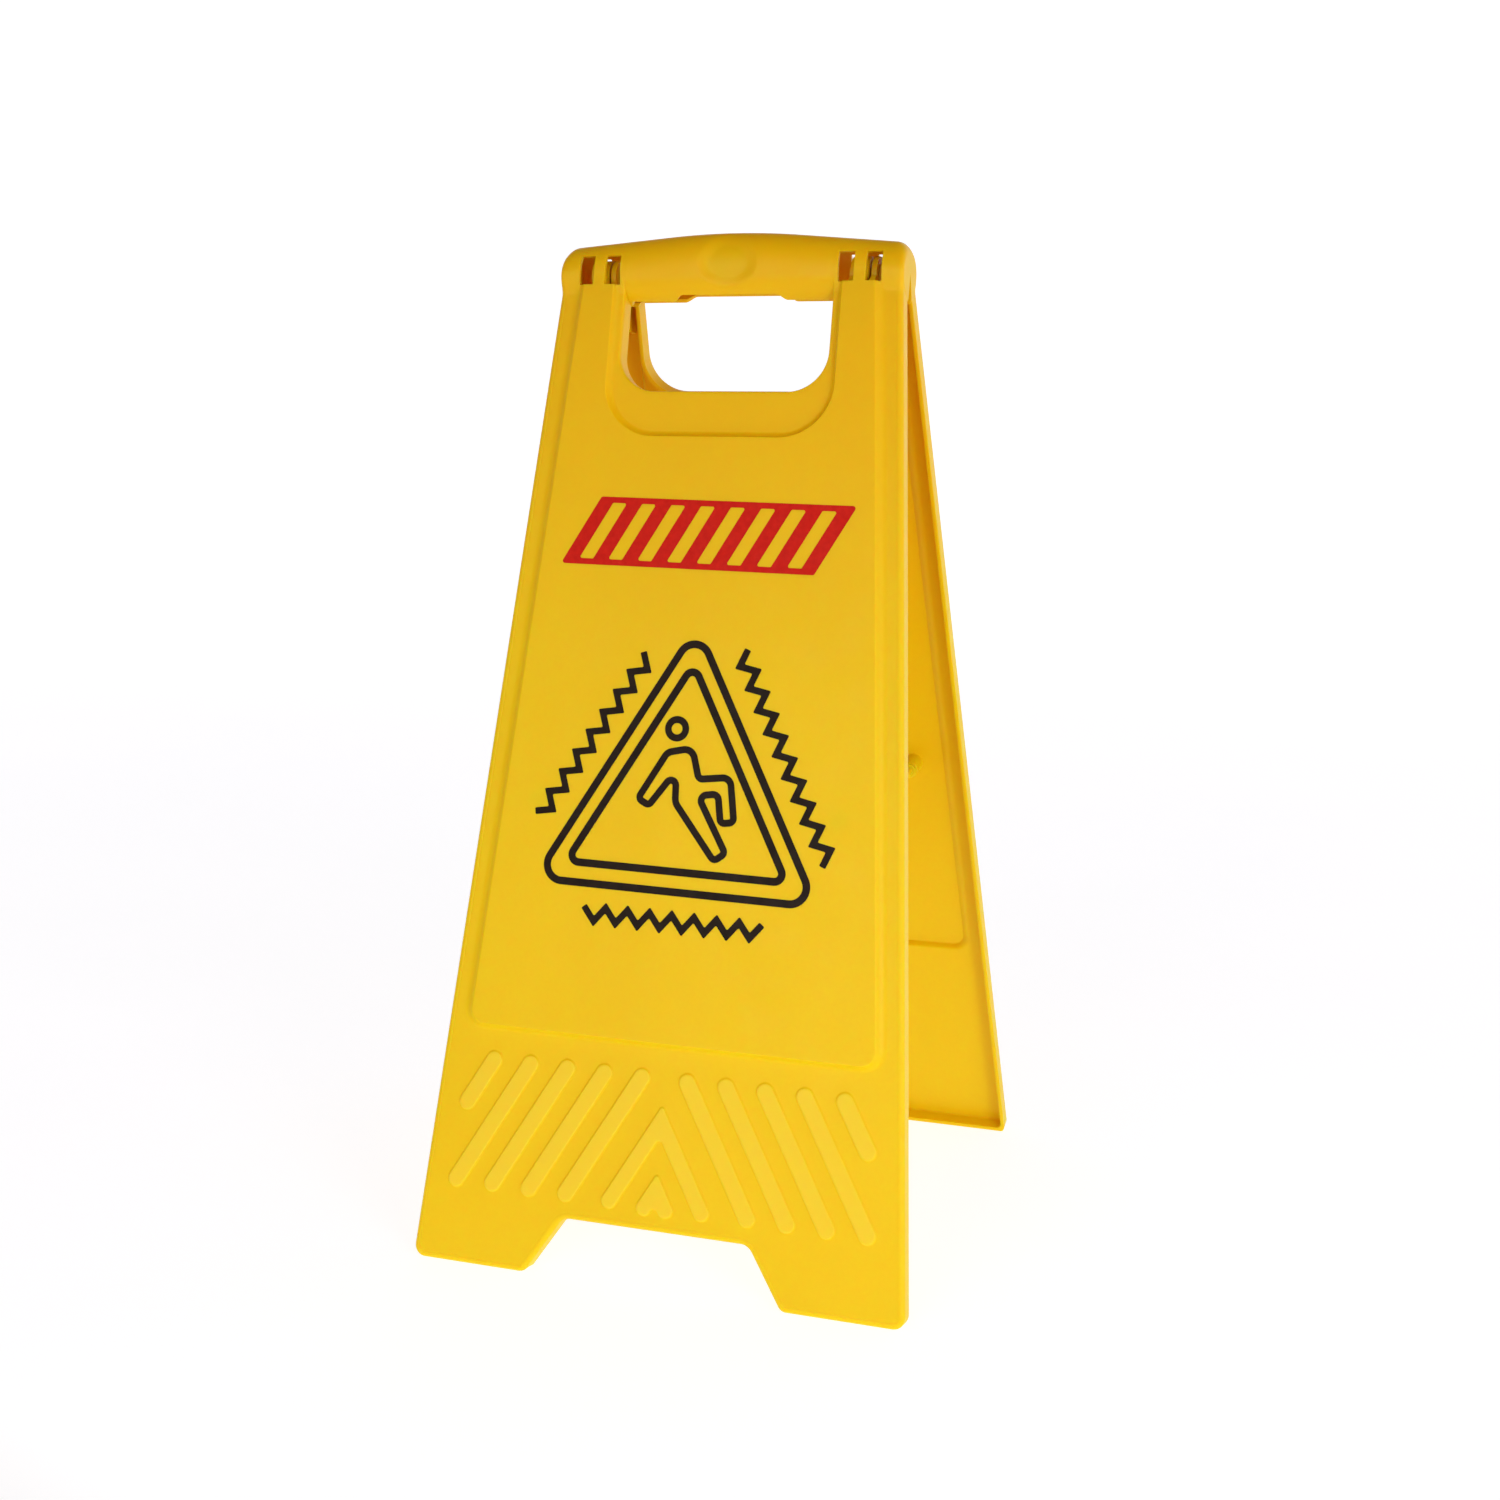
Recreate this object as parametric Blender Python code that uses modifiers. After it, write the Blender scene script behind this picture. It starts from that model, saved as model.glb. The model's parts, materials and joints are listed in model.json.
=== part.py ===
"""Folding A-frame floor sign: two identical moulded leaves hinged inside their own carrying bar.

Each leaf is modelled lying flat: X along the hinge, Y up the leaf with the hinge axis at Y = 0, and Z out of
the sign. A frame empty on the hinge axis then stands each leaf up at the open angle, feet on the floor.
All lengths are in metres, and the world origin is on the floor below the middle of the hinge.
"""
import math

import bmesh
import bpy
from mathutils import Matrix, Vector

# Whole sign
HALF_ANGLE = math.radians(13.96)      # each leaf leans this far from the vertical
HINGE_HEIGHT = 0.572                  # hinge axis above the floor
BASE_HALF_WIDTH = 0.150               # at the feet
TOP_HALF_WIDTH = 0.1042               # edge line at the hinge axis
LEAF_LENGTH = 0.5930                  # hinge axis to the foot, along the leaf
EDGE_SLOPE = (BASE_HALF_WIDTH - TOP_HALF_WIDTH) / LEAF_LENGTH
GAP = 0.0003                          # left between pieces that meet

# Leaf section, measured out from the plane through the hinge axis
RIM_FACE = 0.002                      # inner edge of the rim flange
SKIN_FACE = 0.014                     # outer face of the border
PANEL_FACE = 0.0175                   # outer face of the raised panel
WALL = 0.0025                         # moulded wall thickness
EDGE_RADIUS = 0.0025                  # outer edge of the leaf
LEAF_TOP = -0.006                     # the skin runs up into the carrying bar

# Feet and notch
FOOT_TRIM = 0.001                     # moulded past the floor line, then cut level
FOOT_CORNER = 0.007
FOOT_INNER_CORNER = 0.006
NOTCH_HEIGHT = 0.0343
NOTCH_TOP_HALF_WIDTH = 0.0565
NOTCH_BOTTOM_HALF_WIDTH = 0.0785
NOTCH_CORNER = 0.008

# Handle opening
OPENING_HALF_WIDTH = 0.0640
OPENING_BOTTOM = -0.0718
OPENING_CORNER = 0.0235

# Raised print panel
PANEL_INSET = 0.0130                  # from the leaf's edge, across X
PANEL_TOP = -0.0005
PANEL_BOTTOM = -0.4545
PANEL_CORNER = 0.0115
PANEL_DRAFT = 0.0027                  # sloping wall round the panel
COLLAR_HALF_WIDTH = 0.0664            # the panel stops short of the handle opening
COLLAR_BOTTOM = -0.0958
COLLAR_CORNER = 0.028
POCKET_INSET = 0.004                  # the panel is hollow behind

# Carrying bar
BAR_RADIUS = 0.0175
BAR_HALF_LENGTH = 0.1055
BAR_CROWN = 0.0072                    # the middle of the bar's top stands this far over its radius
BAR_CROWN_ROUND = 0.040               # the peak is rounded over this half-length
BAR_TOP_ROUND = 0.0075                # end corner seen from the front
BAR_FRONT_ROUND = 0.0025              # end corner seen from above
BAR_LOWER_ANGLE = math.radians(-88)   # angles from straight out of the leaf, up positive
BAR_UPPER_ANGLE = math.radians(90 - 0.65) - HALF_ANGLE
BAR_STEPS = 12
BAR_APEX = 0.0006                     # the end walls stop just short of the hinge axis
HAND_EDGE_ANGLE = math.radians(-70)   # the bar's lower edge over the handle opening
GRIP_HALF_WIDTH = 0.0288              # it is raised by this much more in the middle
GRIP_RAMP = 0.0065
GRIP_RISE = 0.0051

# Hinge
WINDOWS = ((0.0669, 0.0765), (0.0835, 0.0927))
WINDOW_HALF_HEIGHT = 0.0088
KNUCKLE_RADIUS = 0.010
KNUCKLES = ((0.0740, 0.0033), (0.0865, 0.0033), (-0.0801, 0.0062))
PIN_RADIUS = 0.003
PIN_HOLE_RADIUS = PIN_RADIUS + GAP
GUSSET = ((0.0045, -0.033), (0.016, -0.037), (0.016, -0.0094))   # height out of the leaf, place up it

# Closing peg and socket
PEG_X = 0.092
PEG_Y = -0.317
BOSS_RADIUS = 0.0055
BOSS_FACE = 0.003
BOSS_DEPTH = 0.0095
SOCKET_RADIUS = 0.0031
PEG_HOLE_RADIUS = 0.0025
PEG_SHANK_RADIUS = 0.0022
PEG_COLLAR_RADIUS = 0.0046
PEG_NOSE_RADIUS = 0.0025
PEG_NOSE_END = -0.007

# Hazard stripes at the foot of each leaf
STRIPE_WIDTH = 0.0100
STRIPE_FACE = 0.015
STRIPE_TOP = -0.472
STRIPE_BOTTOM = -0.5437
STRIPE_FIRST_X = 0.0139
STRIPE_PITCH = 0.0233
STRIPE_COUNT = 4
STRIPE_SHORT_BOTTOM = -0.498
STRIPE_DIRECTION = Vector((math.sin(math.radians(30)), -math.cos(math.radians(30))))
CHEVRON_WIDTH = 0.0092
CHEVRONS = ((-0.4955, -0.5443), (-0.5343, -0.5455))

# Printed marks
PRINT_FACE = PANEL_FACE + GAP
PRINT_THICKNESS = 0.0003
PRINT_TURN = math.radians(-0.85)      # all the marks are printed a little askew, about the middle of the band
PRINT_PIVOT = Vector((0.0, -0.158))
BAND_HALF_WIDTH = 0.089
BAND_TOP = -0.1371
BAND_BOTTOM = -0.1776
BAND_RAIL = 0.0035
BAND_LEAN = 0.022                     # the whole band leans to the right by this much
BAND_BAR = 0.0095
BAND_SPACES = 8
TRIANGLE_LINE = 0.0045
TRIANGLE_RISE = 1.782                        # height over half width
OUTER_TRIANGLE = (-0.3644, 0.0861, 0.0096)   # base, half width and corner radius of the line's middle
INNER_TRIANGLE = (-0.3527, 0.0674, 0.0044)
HEAD_CENTRE = (-0.0065, -0.2705)
HEAD_RADIUS = 0.0074
FIGURE_LINE = 0.0041
ZIGZAG_LINE = 0.0040
ZIGZAG_HEIGHT = 0.0042
ZIGZAG_STEP = 0.0070

YELLOW = (0.85, 0.53, 0.012)
RED = (0.62, 0.008, 0.002)
BLACK = (0.018, 0.009, 0.004)
STEEL = (0.55, 0.55, 0.56)

CURVE_STEPS = 4                       # straight pieces in a quarter turn, about


def reset_scene():
    for item in list(bpy.data.objects):
        bpy.data.objects.remove(item)


def new_collection(name):
    group = bpy.data.collections.new(name)
    bpy.context.scene.collection.children.link(group)
    return group


def new_material(name, colour, roughness, metallic=0.0):
    material = bpy.data.materials.new(name)
    material.use_nodes = True
    shader = material.node_tree.nodes["Principled BSDF"]
    shader.inputs["Base Color"].default_value = (*colour, 1.0)
    shader.inputs["Roughness"].default_value = roughness
    shader.inputs["Metallic"].default_value = metallic
    material.diffuse_color = (*colour, 1.0)
    return material


def mesh_object(name, mesh):
    item = bpy.data.objects.new(name, mesh)
    bpy.context.scene.collection.objects.link(item)
    return item


def evaluated_mesh(item):
    bpy.context.view_layer.update()
    evaluated = item.evaluated_get(bpy.context.evaluated_depsgraph_get())
    return bpy.data.meshes.new_from_object(evaluated)


def corner_arc(before, corner, after, radius):
    """Points of a fillet of the given radius at a corner between two neighbours."""
    to_before = (before - corner).normalized()
    to_after = (after - corner).normalized()
    half = math.acos(max(-1.0, min(1.0, to_before.dot(to_after)))) / 2
    reach = radius / math.tan(half)
    centre = corner + (to_before + to_after).normalized() * (radius / math.sin(half))
    start = corner + to_before * reach - centre
    turn = math.pi - 2 * half
    side = math.copysign(1.0, start.cross(corner + to_after * reach - centre))
    steps = max(2, round(CURVE_STEPS * turn / (math.pi / 2)))
    return [centre + Matrix.Rotation(side * turn * step / steps, 2) @ start for step in range(steps + 1)]


def rounded(corners):
    """Outline through (x, y, radius) corners."""
    points = []
    count = len(corners)
    for index, (x, y, radius) in enumerate(corners):
        corner = Vector((x, y))
        if radius <= 0:
            points.append(corner)
            continue
        before = Vector(corners[index - 1][:2])
        after = Vector(corners[(index + 1) % count][:2])
        points.extend(corner_arc(before, corner, after, radius))
    return points


def inset_corners(corners, distance):
    """Corners of the outline moved inwards (the corners run anticlockwise); negative moves outwards."""
    result = []
    count = len(corners)
    for index, (x, y, radius) in enumerate(corners):
        corner = Vector((x, y))
        before = (corner - Vector(corners[index - 1][:2])).normalized()
        after = (Vector(corners[(index + 1) % count][:2]) - corner).normalized()
        normal_sum = Vector((-before.y - after.y, before.x + after.x)).normalized()
        turn = before.cross(after)
        moved = corner + normal_sum * (distance / normal_sum.dot(Vector((-before.y, before.x))))
        new_radius = radius - math.copysign(distance, turn) if radius > 0 else 0.0
        result.append((moved.x, moved.y, max(new_radius, 0.0005) if radius > 0 else 0.0))
    return result


def plate(outlines, low, high):
    """Flat plate between two heights from closed outlines; an outline inside another is a hole."""
    curve = bpy.data.curves.new("plate", "CURVE")
    curve.dimensions = "2D"
    curve.fill_mode = "BOTH"
    curve.extrude = (high - low) / 2
    curve.render_resolution_u = 0
    for outline in outlines:
        spline = curve.splines.new("POLY")
        spline.points.add(len(outline) - 1)
        for point, place in zip(spline.points, outline):
            point.co = (place[0], place[1], 0.0, 1.0)
        spline.use_cyclic_u = True
    guide = mesh_object("plate_guide", curve)
    mesh = evaluated_mesh(guide)
    bpy.data.objects.remove(guide)
    body = bmesh.new()
    body.from_mesh(mesh)
    bmesh.ops.remove_doubles(body, verts=body.verts, dist=0.00001)
    bmesh.ops.translate(body, verts=body.verts, vec=(0.0, 0.0, (low + high) / 2))
    bmesh.ops.recalc_face_normals(body, faces=body.faces)
    body.to_mesh(mesh)
    body.free()
    return mesh_object("plate", mesh)


def bevel_level(item, level, width, segments):
    """Round the outline edges of a plate at one height."""
    body = bmesh.new()
    body.from_mesh(item.data)
    edges = [edge for edge in body.edges
             if all(abs(vert.co.z - level) < 0.00001 for vert in edge.verts)
             and edge.calc_face_angle(0.0) > 0.5]
    bmesh.ops.bevel(body, geom=edges, offset=width, segments=segments, profile=0.5, affect="EDGES")
    body.to_mesh(item.data)
    body.free()


def turn_to_x(item, centre_x):
    """Stand a plate across X: its outline's x becomes the height out of the leaf."""
    item.data.transform(Matrix.Translation((centre_x, 0.0, 0.0)) @ Matrix.Rotation(-math.pi / 2, 4, "Y"))
    return item


def circle(centre, radius, steps):
    return [(centre[0] + radius * math.cos(math.tau * step / steps),
             centre[1] + radius * math.sin(math.tau * step / steps)) for step in range(steps)]


def box(low, high):
    corners = [(low[0], low[1]), (high[0], low[1]), (high[0], high[1]), (low[0], high[1])]
    return plate([corners], low[2], high[2])


def combine(base, tools, operation):
    """Apply Booleans to the base and remove the tools."""
    for tool in tools:
        modifier = base.modifiers.new(operation.lower(), "BOOLEAN")
        modifier.operation = operation
        modifier.solver = "EXACT"
        modifier.object = tool
        mesh = evaluated_mesh(base)
        base.modifiers.clear()
        base.data = mesh
        bpy.data.objects.remove(tool)


def edge_x(y):
    """Half width of the leaf at a height on it."""
    return TOP_HALF_WIDTH - EDGE_SLOPE * y


def mirrored(corners):
    """Close an outline whose right half runs anticlockwise from the bottom to the top."""
    return corners + [(-x, y, radius) for x, y, radius in reversed(corners)]


def leaf_corners(foot):
    notch_top = NOTCH_HEIGHT - LEAF_LENGTH
    return mirrored([
        (NOTCH_TOP_HALF_WIDTH, notch_top, NOTCH_CORNER),
        (NOTCH_BOTTOM_HALF_WIDTH, foot, FOOT_INNER_CORNER),
        (edge_x(foot), foot, FOOT_CORNER),
        (edge_x(LEAF_TOP), LEAF_TOP, 0.0),
        (OPENING_HALF_WIDTH, LEAF_TOP, 0.0),
        (OPENING_HALF_WIDTH, OPENING_BOTTOM, OPENING_CORNER),
    ])


def panel_corners():
    return mirrored([
        (edge_x(PANEL_BOTTOM) - PANEL_INSET, PANEL_BOTTOM, PANEL_CORNER),
        (edge_x(PANEL_TOP) - PANEL_INSET, PANEL_TOP, 0.0),
        (COLLAR_HALF_WIDTH, PANEL_TOP, 0.0),
        (COLLAR_HALF_WIDTH, COLLAR_BOTTOM, COLLAR_CORNER),
    ])


def shell_body():
    """Border, raised panel and rim flange, hollow behind."""
    body = plate([rounded(leaf_corners(-LEAF_LENGTH - FOOT_TRIM))], RIM_FACE, SKIN_FACE)
    bevel_level(body, SKIN_FACE, EDGE_RADIUS, 2)
    panel = plate([rounded(panel_corners())], SKIN_FACE - WALL / 2, PANEL_FACE)
    bevel_level(panel, PANEL_FACE, PANEL_DRAFT, 1)
    combine(body, [panel], "UNION")
    sole = -LEAF_LENGTH + (SKIN_FACE - RIM_FACE) * math.tan(HALF_ANGLE)
    hollow = plate([rounded(inset_corners(leaf_corners(sole), WALL))], -RIM_FACE, SKIN_FACE - WALL)
    pocket = plate([rounded(inset_corners(panel_corners(), POCKET_INSET))], RIM_FACE, PANEL_FACE - WALL)
    combine(body, [hollow, pocket], "DIFFERENCE")
    return body


def quarter_drop(distance, radius):
    """How far a rounded corner falls back at a distance before the end."""
    if distance >= radius:
        return 0.0
    return radius - math.sqrt(radius ** 2 - (radius - distance) ** 2)


def crown(x):
    """Height of the bar's crown along its length: straight slopes with a rounded peak."""
    away = abs(x)
    if away < BAR_CROWN_ROUND:
        away = (away ** 2 / BAR_CROWN_ROUND + BAR_CROWN_ROUND) / 2
    peak = BAR_CROWN_ROUND / 2
    return BAR_CROWN * (1 - (away - peak) / (BAR_HALF_LENGTH - peak))


def bar_radius(x, angle, wall):
    """Radius of the carrying bar: round below, crowned on top, with rounded ends."""
    to_end = BAR_HALF_LENGTH - abs(x)
    front = BAR_RADIUS - quarter_drop(to_end, BAR_FRONT_ROUND)
    top = BAR_RADIUS + crown(x) - quarter_drop(to_end, BAR_TOP_ROUND)
    upward = math.sin(max(0.0, angle + HALF_ANGLE)) ** 2
    return front * (1 - upward) + top * upward - wall


def loft(rings):
    """Skin a row of matching closed sections and cap both ends."""
    body = bmesh.new()
    rows = [[body.verts.new(place) for place in ring] for ring in rings]
    for row, following in zip(rows, rows[1:]):
        for index in range(len(row)):
            body.faces.new((row[index - 1], row[index], following[index], following[index - 1]))
    body.faces.new(rows[0])
    body.faces.new(rows[-1])
    bmesh.ops.triangulate(body, faces=body.faces)
    bmesh.ops.recalc_face_normals(body, faces=body.faces)
    mesh = bpy.data.meshes.new("loft")
    body.to_mesh(mesh)
    body.free()
    return mesh_object("loft", mesh)


def bar_sector(stations, low_angle, high_angle, wall, apex):
    """Solid sector of the bar between two angles, lofted along X."""
    rings = []
    for x in stations:
        ring = [(x, 0.0, apex)]
        for step in range(BAR_STEPS + 1):
            angle = low_angle + (high_angle - low_angle) * step / BAR_STEPS
            radius = bar_radius(x, angle, wall)
            ring.append((x, radius * math.sin(angle), radius * math.cos(angle)))
        rings.append(ring)
    return loft(rings)


def bar_stations(half_length):
    """Places along X: close together where the end rounds over, wider along the crown."""
    half = [0.0, 0.014, 0.028, BAR_CROWN_ROUND, 0.068, BAR_HALF_LENGTH - BAR_TOP_ROUND]
    for share in (0.35, 0.65, 0.85, 0.96, 1.0):
        half.append(BAR_HALF_LENGTH - BAR_TOP_ROUND * (1 - share))
    half = [x for x in half if x < half_length - 0.0001] + [half_length]
    return [-x for x in reversed(half[1:])] + half


def bar_hollow():
    """The space inside the half bar, open towards the other leaf."""
    spread = math.radians(25)
    stations = bar_stations(BAR_HALF_LENGTH - WALL)
    return bar_sector(stations, BAR_LOWER_ANGLE - spread, BAR_UPPER_ANGLE + spread, WALL, -0.004)


def half_bar():
    """Half of the carrying bar as a shell with closed ends, its lower edge raised over the handle opening."""
    bar = bar_sector(bar_stations(BAR_HALF_LENGTH), BAR_LOWER_ANGLE, BAR_UPPER_ANGLE, 0.0, BAR_APEX)
    below = -2 * BAR_RADIUS
    side = OPENING_HALF_WIDTH - 0.0008
    outer = GRIP_HALF_WIDTH + GRIP_RAMP
    relief = plate([[(-side, below), (side, below), (side, 0.0), (outer, 0.0), (GRIP_HALF_WIDTH, GRIP_RISE),
                     (-GRIP_HALF_WIDTH, GRIP_RISE), (-outer, 0.0), (-side, 0.0)]], WALL, 2 * BAR_RADIUS)
    relief.data.transform(Matrix.Rotation(-HAND_EDGE_ANGLE, 4, "X"))
    combine(bar, [bar_hollow(), relief], "DIFFERENCE")
    return bar


def window_cutter():
    """Block for the windows in the front of the bar, which show the knuckles."""
    outlines = []
    for inner, outer in WINDOWS:
        for side in (-1, 1):
            low, high = sorted((side * inner, side * outer))
            outlines.append([(low, -WINDOW_HALF_HEIGHT), (high, -WINDOW_HALF_HEIGHT),
                             (high, WINDOW_HALF_HEIGHT), (low, WINDOW_HALF_HEIGHT)])
    return plate(outlines, KNUCKLE_RADIUS, 2 * BAR_RADIUS)


def knuckle(x, thickness):
    """Round hinge plate on the axis, with a gusset down the inside of the leaf."""
    first = math.radians(-20)
    sweep = math.radians(290)
    steps = 18
    outline = list(GUSSET)
    for step in range(steps + 1):
        angle = first + sweep * step / steps
        outline.append((KNUCKLE_RADIUS * math.cos(angle), KNUCKLE_RADIUS * math.sin(angle)))
    hole = circle((0.0, 0.0), PIN_HOLE_RADIUS, 16)
    return turn_to_x(plate([outline, hole], -thickness / 2, thickness / 2), x)


def stadium(start, end, width):
    """Outline of a bar with full round ends."""
    along = (end - start).normalized()
    points = []
    for centre, heading in ((end, along), (start, -along)):
        first = math.atan2(heading.y, heading.x) - math.pi / 2
        for step in range(CURVE_STEPS + 2):
            angle = first + math.pi * step / (CURVE_STEPS + 1)
            points.append(centre + Vector((math.cos(angle), math.sin(angle))) * (width / 2))
    return points


def chevron(apex_y, leg_y):
    """Outline of a V standing on its two legs, about the middle of its line."""
    along = STRIPE_DIRECTION
    across = Vector((-along.y, along.x))
    half = CHEVRON_WIDTH / 2
    rise = half / along.x
    end = Vector((0.0, apex_y)) + along * ((leg_y - apex_y) / along.y + half)
    outer = end + across * half
    inner = end - across * half
    full_round = half * 0.98
    return rounded([(0.0, apex_y + rise, 0.0015), (-outer.x, outer.y, full_round),
                    (-inner.x, inner.y, full_round), (0.0, apex_y - rise, 0.001),
                    (inner.x, inner.y, full_round), (outer.x, outer.y, full_round)])


def stripes():
    """Raised slanted bars and chevrons on the foot of the leaf."""
    outlines = [chevron(apex_y, leg_y) for apex_y, leg_y in CHEVRONS]
    for index in range(STRIPE_COUNT + 1):
        bottom = STRIPE_BOTTOM if index < STRIPE_COUNT else STRIPE_SHORT_BOTTOM
        start = Vector((STRIPE_FIRST_X + STRIPE_PITCH * index, STRIPE_TOP))
        end = start + STRIPE_DIRECTION * ((bottom - STRIPE_TOP) / STRIPE_DIRECTION.y)
        outline = stadium(start, end, STRIPE_WIDTH)
        outlines.append(outline)
        outlines.append([(-point.x, point.y) for point in reversed(outline)])
    return plate(outlines, SKIN_FACE - WALL / 2, STRIPE_FACE)


def boss(x, hole_radius):
    """Hollow round boss on the inside of the skin."""
    outlines = [circle((x, PEG_Y), BOSS_RADIUS, 20), circle((x, PEG_Y), hole_radius, 16)]
    return plate(outlines, BOSS_FACE, PANEL_FACE - WALL * 0.8)


def floor_cutter():
    """Block under the floor line, tilted as the leaf leans."""
    reach = (HINGE_HEIGHT + SKIN_FACE * math.sin(HALF_ANGLE)) / math.cos(HALF_ANGLE)
    block = box((-0.2, -0.05, -0.05), (0.2, 0.0, 0.05))
    block.data.transform(Matrix.Translation((0.0, -reach, SKIN_FACE)) @ Matrix.Rotation(HALF_ANGLE, 4, "X"))
    return block


def leaf_mesh():
    """One moulding, used for both leaves."""
    leaf = shell_body()
    combine(leaf, [bar_hollow()], "DIFFERENCE")
    combine(leaf, [half_bar()], "UNION")
    combine(leaf, [window_cutter(), floor_cutter()], "DIFFERENCE")
    combine(leaf, [knuckle(x, thickness) for x, thickness in KNUCKLES], "UNION")
    combine(leaf, [boss(PEG_X, SOCKET_RADIUS), boss(-PEG_X, PEG_HOLE_RADIUS), stripes()], "UNION")
    mesh = leaf.data
    bpy.data.objects.remove(leaf)
    return mesh


def turned(profile, steps, closed):
    """Mesh of a profile of (radius, z) points turned about Z; the profile runs from top to bottom."""
    body = bmesh.new()
    verts = [body.verts.new((radius, 0.0, z)) for radius, z in profile]
    for first, second in zip(verts, verts[1:]):
        body.edges.new((first, second))
    if closed:
        body.edges.new((verts[-1], verts[0]))
    mesh = bpy.data.meshes.new("profile")
    body.to_mesh(mesh)
    body.free()
    guide = mesh_object("profile_guide", mesh)
    screw = guide.modifiers.new("turn", "SCREW")
    screw.steps = steps
    screw.render_steps = steps
    screw.use_merge_vertices = True
    screw.merge_threshold = 0.00005
    result = evaluated_mesh(guide)
    bpy.data.objects.remove(guide)
    return result


def pin_mesh():
    """Headed hinge pin through the fork, along X."""
    fork_start = KNUCKLES[0][0] - KNUCKLES[0][1] / 2 - GAP
    head = 0.0016
    tip = 0.0910
    profile = [(0.0, tip), (PIN_RADIUS - 0.0005, tip), (PIN_RADIUS, tip - 0.0005), (PIN_RADIUS, fork_start),
               (0.0048, fork_start), (0.0048, fork_start - head + 0.0005), (0.0043, fork_start - head),
               (0.0, fork_start - head)]
    mesh = turned(profile, 20, False)
    mesh.transform(Matrix.Rotation(math.pi / 2, 4, "Y"))
    return mesh


def retainer_mesh():
    """Push-on washer outside the fork, along X."""
    low = KNUCKLES[1][0] + KNUCKLES[1][1] / 2 + GAP
    high = low + 0.0009
    profile = [(PIN_HOLE_RADIUS, high), (0.0056, high), (0.0056, low), (PIN_HOLE_RADIUS, low)]
    mesh = turned(profile, 20, True)
    mesh.transform(Matrix.Rotation(math.pi / 2, 4, "Y"))
    return mesh


def peg_mesh():
    """Closing peg: shank in the boss, collar on its face, nose towards the other leaf."""
    collar = BOSS_FACE - GAP
    profile = [(0.0, BOSS_FACE + BOSS_DEPTH - 0.001), (PEG_SHANK_RADIUS, BOSS_FACE + BOSS_DEPTH - 0.001),
               (PEG_SHANK_RADIUS, collar), (PEG_COLLAR_RADIUS, collar), (PEG_COLLAR_RADIUS, collar - 0.0014),
               (PEG_NOSE_RADIUS, collar - 0.0014), (PEG_NOSE_RADIUS, PEG_NOSE_END + 0.0012),
               (PEG_NOSE_RADIUS * 0.6, PEG_NOSE_END), (0.0, PEG_NOSE_END)]
    mesh = turned(profile, 18, False)
    mesh.transform(Matrix.Translation((-PEG_X, PEG_Y, 0.0)))
    return mesh


def film(outlines):
    askew = Matrix.Rotation(PRINT_TURN, 2)
    turned_outlines = [[PRINT_PIVOT + askew @ (Vector(point) - PRINT_PIVOT) for point in outline]
                       for outline in outlines]
    item = plate(turned_outlines, PRINT_FACE, PRINT_FACE + PRINT_THICKNESS)
    mesh = item.data
    bpy.data.objects.remove(item)
    return mesh


def ribbon(points, width, closed):
    """Outlines of an even mitred line along the points: one if it is open, two if it closes on itself."""
    count = len(points)
    left = []
    right = []
    for index, point in enumerate(points):
        before = points[index - 1] if closed or index > 0 else 2 * point - points[index + 1]
        after = points[(index + 1) % count] if closed or index < count - 1 else 2 * point - before
        arriving = (point - before).normalized()
        leaving = (after - point).normalized()
        across = Vector((-arriving.y - leaving.y, arriving.x + leaving.x)).normalized()
        across *= width / 2 / across.dot(Vector((-arriving.y, arriving.x)))
        left.append(point + across)
        right.append(point - across)
    if closed:
        return [left, right]
    return [left + list(reversed(right))]


def leaning_box(left, right, low, high, radius):
    """Parallelogram with level ends that leans like the band, given its edges at the band's foot."""
    slope = BAND_LEAN / (BAND_TOP - BAND_BOTTOM)
    low_shift = slope * (low - BAND_BOTTOM)
    high_shift = slope * (high - BAND_BOTTOM)
    return rounded([(left + low_shift, low, radius), (right + low_shift, low, radius),
                    (right + high_shift, high, radius), (left + high_shift, high, radius)])


def band_outlines():
    """Two rails joined by slanted bars: the spaces between the bars are holes."""
    left = -BAND_HALF_WIDTH
    right = BAND_HALF_WIDTH - BAND_LEAN
    pitch = (right - left - BAND_BAR) / BAND_SPACES
    outlines = [leaning_box(left, right, BAND_BOTTOM, BAND_TOP, 0.0015)]
    for index in range(BAND_SPACES):
        start = left + BAND_BAR + pitch * index
        outlines.append(leaning_box(start, start + pitch - BAND_BAR, BAND_BOTTOM + BAND_RAIL,
                                    BAND_TOP - BAND_RAIL, 0.001))
    return outlines


def triangle_outlines(base_y, half_width, radius):
    """Even line round a triangle with rounded corners."""
    apex = base_y + half_width * TRIANGLE_RISE
    corners = [(-half_width, base_y, radius), (half_width, base_y, radius), (0.0, apex, radius)]
    half = TRIANGLE_LINE / 2
    return [rounded(inset_corners(corners, -half)), rounded(inset_corners(corners, half))]


def figure_outlines():
    """Line round a slipping figure: trailing arm, shoulders, raised knee and the leg that slides away."""
    hand = [(-0.0195, -0.3160, 0.0026), (-0.0265, -0.3125, 0.0026)]
    shoulders = [(-0.0110, -0.2845, 0.0060), (0.0040, -0.2810, 0.0060)]
    raised_leg = [(0.0095, -0.2985, 0.0030), (0.0285, -0.2960, 0.0050), (0.0330, -0.3215, 0.0027),
                  (0.0250, -0.3228, 0.0027), (0.0220, -0.3060, 0.0034), (0.0100, -0.3080, 0.0034)]
    sliding_leg = [(0.0295, -0.3395, 0.0028), (0.0230, -0.3445, 0.0028)]
    back = [(-0.0035, -0.3130, 0.0080), (-0.0045, -0.2945, 0.0030)]
    return ribbon(rounded(hand + shoulders + raised_leg + sliding_leg + back), FIGURE_LINE, True)


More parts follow.
